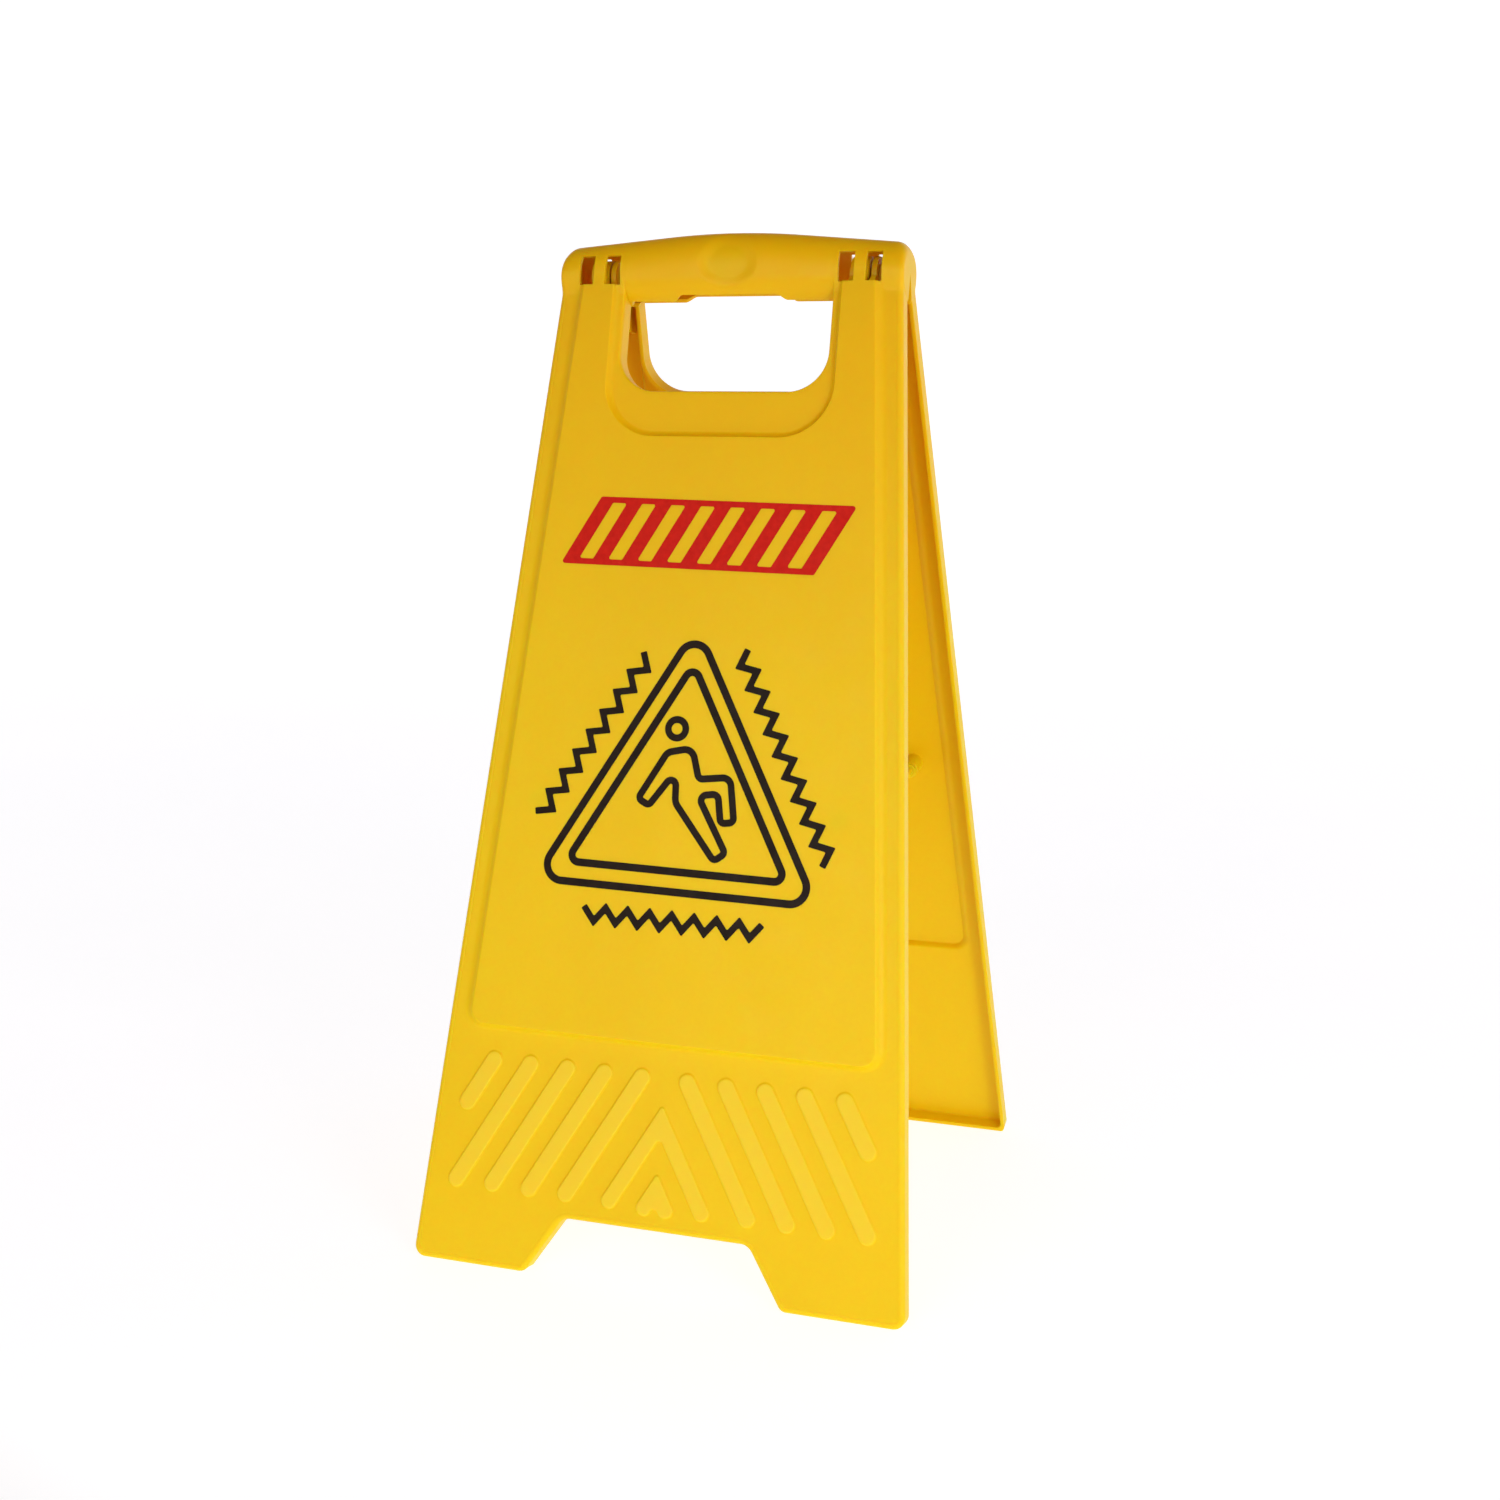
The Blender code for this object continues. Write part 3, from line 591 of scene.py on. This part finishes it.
def lower_angle(x):
    """Angle of the bar's lower edge, raised over the handle opening and again, in an S, over the grip."""
    if abs(x) > HAND_EDGE_HALF_WIDTH:
        return BAR_LOWER_ANGLE
    share = smooth_step((GRIP_HALF_WIDTH + GRIP_RAMP - abs(x)) / GRIP_RAMP)
    return HAND_EDGE_ANGLE + (GRIP_EDGE_ANGLE - HAND_EDGE_ANGLE) * share


def bar_surface(body, wall, spread, padded):
    """Open skin of the half bar with its end walls, as columns of vertices, a wall's thickness inside it."""
    shrink = (BAR_HALF_LENGTH - wall) / BAR_HALF_LENGTH
    stations = [(x, 1.0) for x in bar_stations()]
    ends = [(BAR_HALF_LENGTH, share) for share in BAR_END_STEPS]
    stations = [(-x, share) for x, share in reversed(ends)] + stations + ends
    rows = 108
    columns = []
    for x, share in stations:
        column = []
        low = lower_angle(x) - spread
        high = BAR_UPPER_ANGLE + spread
        for row in range(rows + 1):
            angle = low + (high - low) * row / rows
            radius = (bar_radius(x, angle) - wall) * share
            if padded:
                radius -= dish(x, angle)
            column.append(body.verts.new((x * shrink, radius * math.sin(angle), radius * math.cos(angle))))
        columns.append(column)
    for first, second in zip(columns, columns[1:]):
        for row in range(rows):
            body.faces.new((first[row], second[row], second[row + 1], first[row + 1]))
    return columns


def rim_of(columns):
    """The boundary vertices of a skin of columns, in order."""
    bottom = [column[0] for column in columns]
    top = [column[-1] for column in reversed(columns)]
    return bottom + columns[-1][1:-1] + top + columns[0][-2:0:-1]


def half_bar():
    """Half of the carrying bar: a shell with closed ends, its long edges rounded."""
    body = bmesh.new()
    outside = bar_surface(body, 0.0, 0.0, True)
    inside = bar_surface(body, WALL, 0.0, False)
    skin(body, rim_of(outside), rim_of(inside))
    bmesh.ops.recalc_face_normals(body, faces=body.faces)
    edges = set()
    skip = len(BAR_END_STEPS) + 1
    for columns in (outside, inside):
        for row in (0, -1):
            for first, second in zip(columns[skip:-skip - 1], columns[skip + 1:-skip]):
                edges.add(body.edges.get((first[row], second[row])))
    bmesh.ops.bevel(body, geom=list(edges), offset=0.3, segments=2, profile=0.5, affect="EDGES")
    return new_object("half_bar", body)


def bar_hollow():
    """The space inside the half bar."""
    body = bmesh.new()
    columns = bar_surface(body, WALL + 0.04, math.radians(22), False)
    rim = rim_of(columns)
    centre = body.verts.new((0.0, -2.0, -4.0))
    for index in range(len(rim)):
        body.faces.new((rim[index - 1], rim[index], centre))
    bmesh.ops.recalc_face_normals(body, faces=body.faces)
    return new_object("bar_hollow", body)


def window_cutter():
    body = bmesh.new()
    for inner, outer in WINDOWS:
        for side in (-1, 1):
            low, high = sorted((side * inner, side * outer))
            corners = [(low, -WINDOW_HALF_HEIGHT), (high, -WINDOW_HALF_HEIGHT),
                       (high, WINDOW_HALF_HEIGHT), (low, WINDOW_HALF_HEIGHT)]
            block = prism([plain([(*corner, WINDOW_CORNER) for corner in corners])],
                          KNUCKLE_RADIUS + 0.5, 2 * BAR_RADIUS)
            add(body, block)
    return new_object("windows", body)


def add(body, extra):
    """Move the faces of one bmesh into another."""
    mesh = bpy.data.meshes.new("extra")
    extra.to_mesh(mesh)
    extra.free()
    body.from_mesh(mesh)
    bpy.data.meshes.remove(mesh)


def circle(centre, radius, steps):
    return [Vector((centre[0] + radius * math.cos(math.tau * step / steps),
                    centre[1] + radius * math.sin(math.tau * step / steps))) for step in range(steps)]


def knuckle(x, thickness):
    """Round hinge plate on the axis, with a gusset down the inside of the leaf and softened edges."""
    first = math.radians(-20)
    sweep = math.radians(290)
    steps = 48
    points = [Vector(point) for point in GUSSET]
    for step in range(steps + 1):
        angle = first + sweep * step / steps
        points.append(Vector((math.cos(angle), math.sin(angle))) * KNUCKLE_RADIUS)
    hole = circle((0.0, 0.0), PIN_RADIUS + CLEARANCE, 36)
    body = prism([points, hole], -thickness / 2, thickness / 2)
    edges = [edge for edge in body.edges if edge.calc_face_angle(0.0) > 1.2
             and abs(abs(edge.verts[0].co.z) - thickness / 2) < 0.01
             and abs(edge.verts[0].co.z - edge.verts[1].co.z) < 0.01]
    bmesh.ops.bevel(body, geom=edges, offset=0.3, segments=2, profile=0.5, affect="EDGES")
    turn = Matrix.Translation((x, 0.0, 0.0)) @ Matrix.Rotation(-math.pi / 2, 4, "Y")
    bmesh.ops.transform(body, matrix=turn, verts=body.verts)
    return body


def turned(profile, steps, closed):
    """Body of a profile of (radius, z) points turned about Z."""
    body = bmesh.new()
    rings = []
    for radius, z in profile:
        if radius == 0:
            rings.append([body.verts.new((0.0, 0.0, z))])
        else:
            rings.append(ring(body, circle((0.0, 0.0), radius, steps), z))
    pairs = list(zip(rings, rings[1:]))
    if closed:
        pairs.append((rings[-1], rings[0]))
    for first, second in pairs:
        if len(first) == 1 or len(second) == 1:
            tip, base = (first[0], second) if len(first) == 1 else (second[0], first)
            for index in range(steps):
                body.faces.new((tip, base[index - 1], base[index]))
        else:
            skin(body, first, second)
    bmesh.ops.recalc_face_normals(body, faces=body.faces)
    return body


def softened(profile, radius):
    """Round the inner corners of a turned profile."""
    points = [Vector(point) for point in profile]
    result = [points[0]]
    for before, corner, after in zip(points, points[1:], points[2:]):
        reach = min(radius, (before - corner).length / 2.2, (after - corner).length / 2.2)
        start = corner + (before - corner).normalized() * reach
        end = corner + (after - corner).normalized() * reach
        for step in range(4):
            share = step / 3
            near = start.lerp(corner, share)
            far = corner.lerp(end, share)
            result.append(near.lerp(far, share))
    return result + [points[-1]]


def boss(x, hole_radius):
    """Hollow round boss on the inside of the skin, widening to its root."""
    top = PANEL_FACE - WALL
    profile = [(hole_radius, top), (hole_radius, BOSS_FACE + 0.4), (hole_radius + 0.4, BOSS_FACE),
               (BOSS_RADIUS - 0.4, BOSS_FACE), (BOSS_RADIUS, BOSS_FACE + 0.4), (BOSS_RADIUS, 13.0),
               (BOSS_RADIUS + 0.8, 14.6), (BOSS_RADIUS + 0.8, top)]
    body = turned(profile, 48, True)
    bmesh.ops.translate(body, verts=body.verts, vec=(x, PEG_Y, 0.0))
    return body


def leaf_mesh():
    """One whole leaf: shell, half bar, windows, knuckles and bosses."""
    leaf = shell()
    combine(leaf, bar_hollow(), "DIFFERENCE")
    combine(leaf, half_bar(), "UNION")
    combine(leaf, window_cutter(), "DIFFERENCE")
    fittings = bmesh.new()
    for x, thickness in KNUCKLES:
        add(fittings, knuckle(x, thickness))
    add(fittings, boss(PEG_X, SOCKET_RADIUS))
    add(fittings, boss(-PEG_X, PEG_HOLE_RADIUS))
    combine(leaf, new_object("fittings", fittings), "UNION")
    mesh = leaf.data
    bpy.data.objects.remove(leaf)
    return mesh


def mesh_of(body, matrix=None):
    """Mesh from a bmesh, which is used up."""
    mesh = bpy.data.meshes.new("piece")
    body.to_mesh(mesh)
    body.free()
    if matrix:
        mesh.transform(matrix)
    return mesh


def pin_mesh():
    """Headed hinge pin through the fork, along x, with a domed head and a chamfered tip."""
    start = KNUCKLES[0][0] - KNUCKLES[0][1] / 2 - CLEARANCE
    profile = softened([(0.0, PIN_END), (PIN_RADIUS, PIN_END), (PIN_RADIUS, start), (PIN_HEAD_RADIUS, start),
                        (PIN_HEAD_RADIUS, start - PIN_HEAD), (0.0, start - PIN_HEAD)], 0.5)
    return mesh_of(turned(profile, 48, False), Matrix.Rotation(math.pi / 2, 4, "Y"))


def retainer_mesh():
    """Push-on washer outside the fork, along x, slightly dished."""
    low = KNUCKLES[1][0] + KNUCKLES[1][1] / 2 + CLEARANCE
    hole = PIN_RADIUS + CLEARANCE
    profile = [(hole, low + 0.9), (4.6, low + 0.7), (5.5, low + 0.55), (5.6, low + 0.3), (5.5, low),
               (4.6, low + 0.1), (hole, low + 0.3)]
    return mesh_of(turned(profile, 48, True), Matrix.Rotation(math.pi / 2, 4, "Y"))


def peg_mesh():
    """Closing peg: shank in the boss, collar on its face, and a rounded snap nose towards the other leaf."""
    collar = BOSS_FACE - CLEARANCE
    profile = softened([(0.0, 11.5), (2.2, 11.5), (2.2, collar), (4.6, collar), (4.6, collar - 1.4),
                        (2.3, collar - 1.4), (2.3, -3.4), (2.5, -5.2), (1.5, -7.0), (0.0, -7.0)], 0.5)
    return mesh_of(turned(profile, 48, False), Matrix.Translation((-PEG_X, PEG_Y, 0.0)))


def film(loops):
    """Thin layer of ink on the panel."""
    askew = Matrix.Rotation(PRINT_TURN, 2)
    turned_loops = [[PRINT_PIVOT + askew @ (point - PRINT_PIVOT) for point in loop] for loop in loops]
    return mesh_of(prism(turned_loops, PRINT_LOW, PRINT_HIGH))


def ribbon(points, width, closed):
    """Even line with round joints along the points: one loop if it is open, two if it closes on itself."""
    count = len(points)
    left = []
    right = []
    for index, point in enumerate(points):
        before = points[index - 1] if closed or index > 0 else 2 * point - points[index + 1]
        after = points[(index + 1) % count] if closed or index < count - 1 else 2 * point - before
        arriving = (point - before).normalized()
        leaving = (after - point).normalized()
        across = Vector((-arriving.y - leaving.y, arriving.x + leaving.x)).normalized()
        across *= width / 2 / across.dot(Vector((-arriving.y, arriving.x)))
        left.append(point + across)
        right.append(point - across)
    if closed:
        return [left, right]
    return [left + list(reversed(right))]


def leaning_box(left, right, low, high, radius):
    """Parallelogram with level ends that leans like the band, given its edges at the band's foot."""
    slope = BAND_LEAN / (BAND_TOP - BAND_BOTTOM)
    low_shift = slope * (low - BAND_BOTTOM)
    high_shift = slope * (high - BAND_BOTTOM)
    return plain([(left + low_shift, low, radius), (right + low_shift, low, radius),
                  (right + high_shift, high, radius), (left + high_shift, high, radius)])


def band_outlines():
    """Two rails joined by slanted bars: the spaces between the bars are holes."""
    left = -BAND_HALF_WIDTH
    right = BAND_HALF_WIDTH - BAND_LEAN
    pitch = (right - left - BAND_BAR) / BAND_SPACES
    loops = [leaning_box(left, right, BAND_BOTTOM, BAND_TOP, 1.5)]
    for index in range(BAND_SPACES):
        start = left + BAND_BAR + pitch * index
        loops.append(leaning_box(start, start + pitch - BAND_BAR, BAND_BOTTOM + BAND_RAIL,
                                 BAND_TOP - BAND_RAIL, 1.0))
    return loops


def triangle_outlines(base_y, half_width, radius):
    """Even line round a triangle with rounded corners."""
    apex = base_y + half_width * TRIANGLE_RISE
    corners = [(-half_width, base_y, radius, "edge"), (half_width, base_y, radius, "edge"),
               (0.0, apex, radius, "edge")]
    half = TRIANGLE_LINE / 2
    return [outline(corners, {"edge": -half}), outline(corners, {"edge": half})]


def figure_outlines():
    """Line round a slipping figure: trailing arm, shoulders, raised knee and the leg that slides away."""
    hand = [(-19.5, -316.0, 2.6), (-26.5, -312.5, 2.6)]
    shoulders = [(-11.0, -284.5, 6.0), (4.0, -281.0, 6.0)]
    raised_leg = [(9.5, -298.5, 3.0), (28.5, -296.0, 5.0), (33.0, -321.5, 2.7),
                  (25.0, -322.8, 2.7), (22.0, -306.0, 3.4), (10.0, -308.0, 3.4)]
    sliding_leg = [(29.5, -339.5, 2.8), (23.0, -344.5, 2.8)]
    back = [(-3.5, -313.0, 8.0), (-4.5, -294.5, 3.0)]
    return ribbon(plain(hand + shoulders + raised_leg + sliding_leg + back), FIGURE_LINE, True)


def zigzag_outlines(start, end):
    """Even zigzag line between two points, its points and ends rounded."""
    start = Vector(start)
    end = Vector(end)
    along = (end - start).normalized()
    across = Vector((-along.y, along.x))
    steps = round((end - start).length / ZIGZAG_STEP)
    turns = [start.lerp(end, step / steps) + across * ZIGZAG_HEIGHT * (-1) ** step
             for step in range(steps + 1)]
    line = ribbon(turns, ZIGZAG_LINE, False)[0]
    return [plain([(point.x, point.y, 0.7) for point in line])]


def print_meshes():
    """Printed marks on one leaf, by name, with their ink."""
    head = [circle(HEAD_CENTRE, HEAD_RADIUS, 48), circle(HEAD_CENTRE, HEAD_RADIUS - FIGURE_LINE, 40)]
    return {
        "red_band": (film(band_outlines()), "red_ink"),
        "outer_triangle": (film(triangle_outlines(*OUTER_TRIANGLE)), "black_ink"),
        "inner_triangle": (film(triangle_outlines(*INNER_TRIANGLE)), "black_ink"),
        "figure_head": (film(head), "black_ink"),
        "figure_body": (film(figure_outlines()), "black_ink"),
        "left_mark": (film(zigzag_outlines(*LEFT_MARK)), "black_ink"),
        "right_mark": (film(zigzag_outlines(*RIGHT_MARK)), "black_ink"),
        "bottom_mark": (film(zigzag_outlines(*BOTTOM_MARK)), "black_ink"),
    }


def new_material(name):
    """Material with its node tree and Principled shader."""
    material = bpy.data.materials.new(name)
    material.use_nodes = True
    nodes = material.node_tree.nodes
    return material, nodes, material.node_tree.links, nodes["Principled BSDF"]


def noise(nodes, links, scale, detail, stretch=(1.0, 1.0, 1.0)):
    """Noise value over the object's own coordinates."""
    coordinates = nodes.new("ShaderNodeTexCoord")
    mapping = nodes.new("ShaderNodeMapping")
    mapping.inputs["Scale"].default_value = stretch
    texture = nodes.new("ShaderNodeTexNoise")
    texture.inputs["Scale"].default_value = scale
    texture.inputs["Detail"].default_value = detail
    links.new(coordinates.outputs["Object"], mapping.inputs["Vector"])
    links.new(mapping.outputs["Vector"], texture.inputs["Vector"])
    return texture.outputs["Fac"]


def spread(nodes, links, value, low, high, out_low, out_high):
    """Stretch the middle of a noise value over a range."""
    node = nodes.new("ShaderNodeMapRange")
    node.inputs["From Min"].default_value = low
    node.inputs["From Max"].default_value = high
    node.inputs["To Min"].default_value = out_low
    node.inputs["To Max"].default_value = out_high
    links.new(value, node.inputs["Value"])
    return node.outputs["Result"]


def colour_between(nodes, links, factor, first, second):
    node = nodes.new("ShaderNodeMix")
    node.data_type = "RGBA"
    links.new(factor, node.inputs["Factor"])
    for socket, colour in ((node.inputs[6], first), (node.inputs[7], second)):
        if isinstance(colour, tuple):
            socket.default_value = (*colour, 1.0)
        else:
            links.new(colour, socket)
    return node.outputs[2]


def bump(nodes, links, heights, shader):
    """Stack bumps of (height value, depth in metres) on the shader."""
    previous = None
    for height, depth in heights:
        node = nodes.new("ShaderNodeBump")
        node.inputs["Distance"].default_value = depth
        node.inputs["Strength"].default_value = 1.0
        links.new(height, node.inputs["Height"])
        if previous:
            links.new(previous, node.inputs["Normal"])
        previous = node.outputs["Normal"]
    links.new(previous, shader.inputs["Normal"])


def painted_stripe_highlight(nodes, links, coordinates, place_on_sign):
    """Share of the painted highlight: the tops of the raised stripes, found by how far they stand off the
    leaf, are painted paler.
    """
    folded = nodes.new("ShaderNodeVectorMath")
    folded.operation = "ABSOLUTE"
    links.new(coordinates.outputs["Object"], folded.inputs[0])
    outward = nodes.new("ShaderNodeVectorMath")
    outward.operation = "DOT_PRODUCT"
    outward.inputs[1].default_value = (0.0, math.cos(HALF_ANGLE), math.sin(HALF_ANGLE))
    links.new(folded.outputs["Vector"], outward.inputs[0])
    hinge = HINGE_HEIGHT * math.sin(HALF_ANGLE)
    low, full = ((hinge + SKIN_FACE + height) * MILLIMETRE for height in STRIPE_PALE)
    raised = spread(nodes, links, outward.outputs["Value"], low, full, 0.0, 0.7)
    share = nodes.new("ShaderNodeMath")
    share.operation = "MULTIPLY"
    links.new(raised, share.inputs[0])
    links.new(spread(nodes, links, place_on_sign.outputs["Z"], 0.123, 0.125, 1.0, 0.0), share.inputs[1])
    return share.outputs["Value"]


def yellow_plastic():
    """Moulded polypropylene: faint flow marks, fine texture and a soft sheen, with painted shade that turns
    it deeper and oranger towards the top of the sign and a painted highlight on the raised stripe tops.
    """
    material, nodes, links, shader = new_material("yellow_plastic")
    flow = spread(nodes, links, noise(nodes, links, 9.0, 3.0, (1.0, 1.0, 0.4)), 0.35, 0.65, 0.0, 1.0)
    speck = spread(nodes, links, noise(nodes, links, 420.0, 2.0), 0.3, 0.7, 0.0, 1.0)
    coordinates = nodes.new("ShaderNodeTexCoord")
    place_on_sign = nodes.new("ShaderNodeSeparateXYZ")
    links.new(coordinates.outputs["Object"], place_on_sign.inputs["Vector"])
    # painted shade: the colour turns deeper and oranger towards the top of the sign, where less light reaches
    # it
    height = spread(nodes, links, place_on_sign.outputs["Z"], 0.34, 0.58, 0.0, 1.0)
    deep = colour_between(nodes, links, height, (0.835, 0.590, 0.003), (0.81, 0.465, 0.002))
    light = colour_between(nodes, links, height, (0.865, 0.620, 0.004), (0.84, 0.495, 0.003))
    base = colour_between(nodes, links, flow, deep, light)
    tint = colour_between(nodes, links, spread(nodes, links, speck, 0.0, 1.0, 0.0, 0.12), base,
                          (0.79, 0.48, 0.003))
    # painted highlight: the tops of the raised stripes are painted paler and less saturated
    worn_ink_and_painted_highlight = painted_stripe_highlight(nodes, links, coordinates, place_on_sign)
    links.new(colour_between(nodes, links, worn_ink_and_painted_highlight, tint, (0.88, 0.67, 0.035)), shader.inputs["Base Color"])
    grain = noise(nodes, links, 900.0, 3.0)
    links.new(spread(nodes, links, noise(nodes, links, 60.0, 4.0), 0.3, 0.7, 0.36, 0.46),
              shader.inputs["Roughness"])
    waves = noise(nodes, links, 26.0, 1.0)
    bump(nodes, links, [(waves, 0.00012), (grain, 0.000012)], shader)
    shader.inputs["IOR"].default_value = 1.49
    shader.inputs["Specular IOR Level"].default_value = 0.15
    shader.inputs["Subsurface Weight"].default_value = 0.6
    shader.inputs["Subsurface Radius"].default_value = (1.0, 0.35, 0.03)
    shader.inputs["Subsurface Scale"].default_value = 0.006
    return material


def ink(name, colour, worn_ink_and_painted_highlight):
    """Printed ink: slightly uneven cover with a soft gloss."""
    material, nodes, links, shader = new_material(name)
    cover = spread(nodes, links, noise(nodes, links, 300.0, 4.0), 0.3, 0.75, 0.0, 1.0)
    links.new(colour_between(nodes, links, cover, colour, worn_ink_and_painted_highlight), shader.inputs["Base Color"])
    links.new(spread(nodes, links, noise(nodes, links, 120.0, 3.0), 0.3, 0.7, 0.34, 0.48),
              shader.inputs["Roughness"])
    bump(nodes, links, [(noise(nodes, links, 1400.0, 2.0), 0.000008)], shader)
    shader.inputs["Specular IOR Level"].default_value = 0.1
    return material


def pin_steel():
    """Steel with a golden zinc plating and fine turning marks along the pin's length; its colour is pushed as
    bright and orange as the plastic, a painted glow for the light bounced round inside the hinge windows.
    """
    material, nodes, links, shader = new_material("pin_steel")
    lines = noise(nodes, links, 300.0, 4.0, (12.0, 1.0, 1.0))
    tone = spread(nodes, links, lines, 0.3, 0.7, 0.0, 1.0)
    # painted glow: the plating colour is as bright and orange as the plastic, standing in for light bounced
    # round inside the hinge windows
    links.new(colour_between(nodes, links, tone, (0.94, 0.56, 0.02), (0.97, 0.66, 0.04)),
              shader.inputs["Base Color"])
    links.new(spread(nodes, links, lines, 0.3, 0.7, 0.40, 0.55), shader.inputs["Roughness"])
    bump(nodes, links, [(lines, 0.00001)], shader)
    shader.inputs["Metallic"].default_value = 0.15
    return material


def pale_floor():
    """Matt white sweep, lit through from behind like a light table and dimmer in front of the sign."""
    material, nodes, links, shader = new_material("pale_floor")
    mottle = spread(nodes, links, noise(nodes, links, 3.0, 4.0), 0.3, 0.7, 0.0, 1.0)
    links.new(colour_between(nodes, links, mottle, (0.42, 0.42, 0.42), (0.44, 0.44, 0.44)),
              shader.inputs["Base Color"])
    shader.inputs["Roughness"].default_value = 0.9
    shader.inputs["Specular IOR Level"].default_value = 0.1
    shader.inputs["Emission Color"].default_value = (0.93, 0.95, 1.0, 1.0)
    coordinates = nodes.new("ShaderNodeTexCoord")
    across = nodes.new("ShaderNodeVectorMath")
    across.operation = "DOT_PRODUCT"
    across.inputs[1].default_value = GLOW_DIRECTION
    links.new(coordinates.outputs["Object"], across.inputs[0])
    links.new(spread(nodes, links, across.outputs["Value"], *GLOW_RANGE, GLOW_AHEAD * GLOW, GLOW),
              shader.inputs["Emission Strength"])
    return material


def place(name, mesh, side, material, slot, smooth_degrees):
    """Stand a finished mesh up on one leaf, ride it on that leaf's body and let it stand for its CAD node."""
    own_mesh = mesh.copy()
    own_mesh.name = name
    lean = Matrix.Rotation(TURN[side], 4, "Z") @ Matrix.Rotation(math.pi / 2 - HALF_ANGLE, 4, "X")
    own_mesh.transform(Matrix.Translation((0.0, 0.0, HINGE_HEIGHT * MILLIMETRE)) @ lean
                       @ Matrix.Scale(MILLIMETRE, 4))
    own_mesh.materials.clear()
    own_mesh.materials.append(material)
    own_mesh.shade_smooth()
    own_mesh.set_sharp_from_angle(angle=math.radians(smooth_degrees))
    piece = bpy.data.objects.new(f"{name}_piece", own_mesh)
    bpy.context.scene.collection.objects.link(piece)
    weighted = piece.modifiers.new("weighted_normals", "WEIGHTED_NORMAL")
    weighted.keep_sharp = True
    weighted.weight = 60
    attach(piece, side)
    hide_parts(name)
    return piece


def build_sign():
    plastic = yellow_plastic()
    inks = {"red_ink": ink("red_ink", (0.56, 0.007, 0.002), (0.66, 0.012, 0.004)),
            "black_ink": ink("black_ink", (0.009, 0.004, 0.001), (0.018, 0.008, 0.003))}
    steel = pin_steel()
    leaf = leaf_mesh()
    pin = pin_mesh()
    retainer = retainer_mesh()
    peg = peg_mesh()
    prints = print_meshes()
    for side, pin_side in (("front", "right"), ("rear", "left")):
        place(f"{side}_leaf", leaf, side, plastic, "leaf_plastic", 35)
        place(f"{side}_closing_peg", peg, side, plastic, "leaf_plastic", 35)
        place(f"{pin_side}_hinge_pin", pin, side, steel, "pin_steel", 35)
        place(f"{pin_side}_pin_retainer", retainer, side, steel, "pin_steel", 35)
        for label, (mesh, slot) in prints.items():
            place(f"{side}_{label}", mesh, side, inks[slot], slot, 35)


def studio_floor():
    """Round pale floor that curves up into a wall all round."""
    body = bmesh.new()
    flat = 3.2
    bend = 1.6
    profile = [(0.0, 0.0), (0.6, 0.0), (1.6, 0.0), (flat, 0.0)]
    steps = 10
    for step in range(1, steps + 1):
        angle = math.pi / 2 * step / steps
        profile.append((flat + bend * math.sin(angle), bend * (1 - math.cos(angle))))
    profile.append((flat + bend, 3.4))
    around = 72
    rings = [[body.verts.new((0.0, 0.0, 0.0))]]
    for radius, z in profile[1:]:
        rings.append(ring(body, circle((0.0, 0.0), radius, around), z))
    for index in range(around):
        body.faces.new((rings[0][0], rings[1][index - 1], rings[1][index]))
    for first, second in zip(rings[1:], rings[2:]):
        skin(body, first, second)
    bmesh.ops.recalc_face_normals(body, faces=body.faces)
    floor = new_object("studio_floor", body)
    floor.data.shade_smooth()
    floor.data.materials.append(pale_floor())


def area_light(name, place_at, aim, size, power):
    light = bpy.data.lights.new(name, "AREA")
    light.shape = "RECTANGLE"
    light.size = size[0]
    light.size_y = size[1]
    light.energy = power
    item = bpy.data.objects.new(name, light)
    item.location = place_at
    item.rotation_euler = (Vector(aim) - Vector(place_at)).to_track_quat("-Z", "Y").to_euler()
    bpy.context.scene.collection.objects.link(item)


def light_studio():
    aim = (0.0, 0.0, 0.3)
    area_light("front_softbox", (-0.45, -2.35, 0.8), aim, (1.2, 1.2), 13.0)
    area_light("right_softbox", (1.6, -1.5, 0.55), aim, (0.7, 1.0), 15.0)
    world = bpy.data.worlds.new("studio")
    world.use_nodes = True
    background = world.node_tree.nodes["Background"]
    background.inputs["Color"].default_value = (1.0, 0.62, 0.25, 1.0)
    background.inputs["Strength"].default_value = 0.25
    bpy.context.scene.world = world
    bpy.context.scene.view_settings.view_transform = "Standard"


def set_camera():
    """Camera at the reference view: slightly right of the middle, looking a little down."""
    yaw = math.radians(17.94)
    pitch = math.radians(10.84)
    roll = math.radians(0.18)
    camera = bpy.data.cameras.new("camera")
    camera.sensor_width = 36.0
    camera.lens = 45.58
    camera.clip_start = 0.01
    item = bpy.data.objects.new("camera", camera)
    item.matrix_world = (Matrix.Translation((0.3645, -1.0964, 0.5082)) @ Matrix.Rotation(yaw, 4, "Z")
                         @ Matrix.Rotation(math.pi / 2 - pitch, 4, "X") @ Matrix.Rotation(roll, 4, "Z"))
    bpy.context.scene.collection.objects.link(item)
    bpy.context.scene.camera = item


build_sign()
studio_floor()
light_studio()
set_camera()
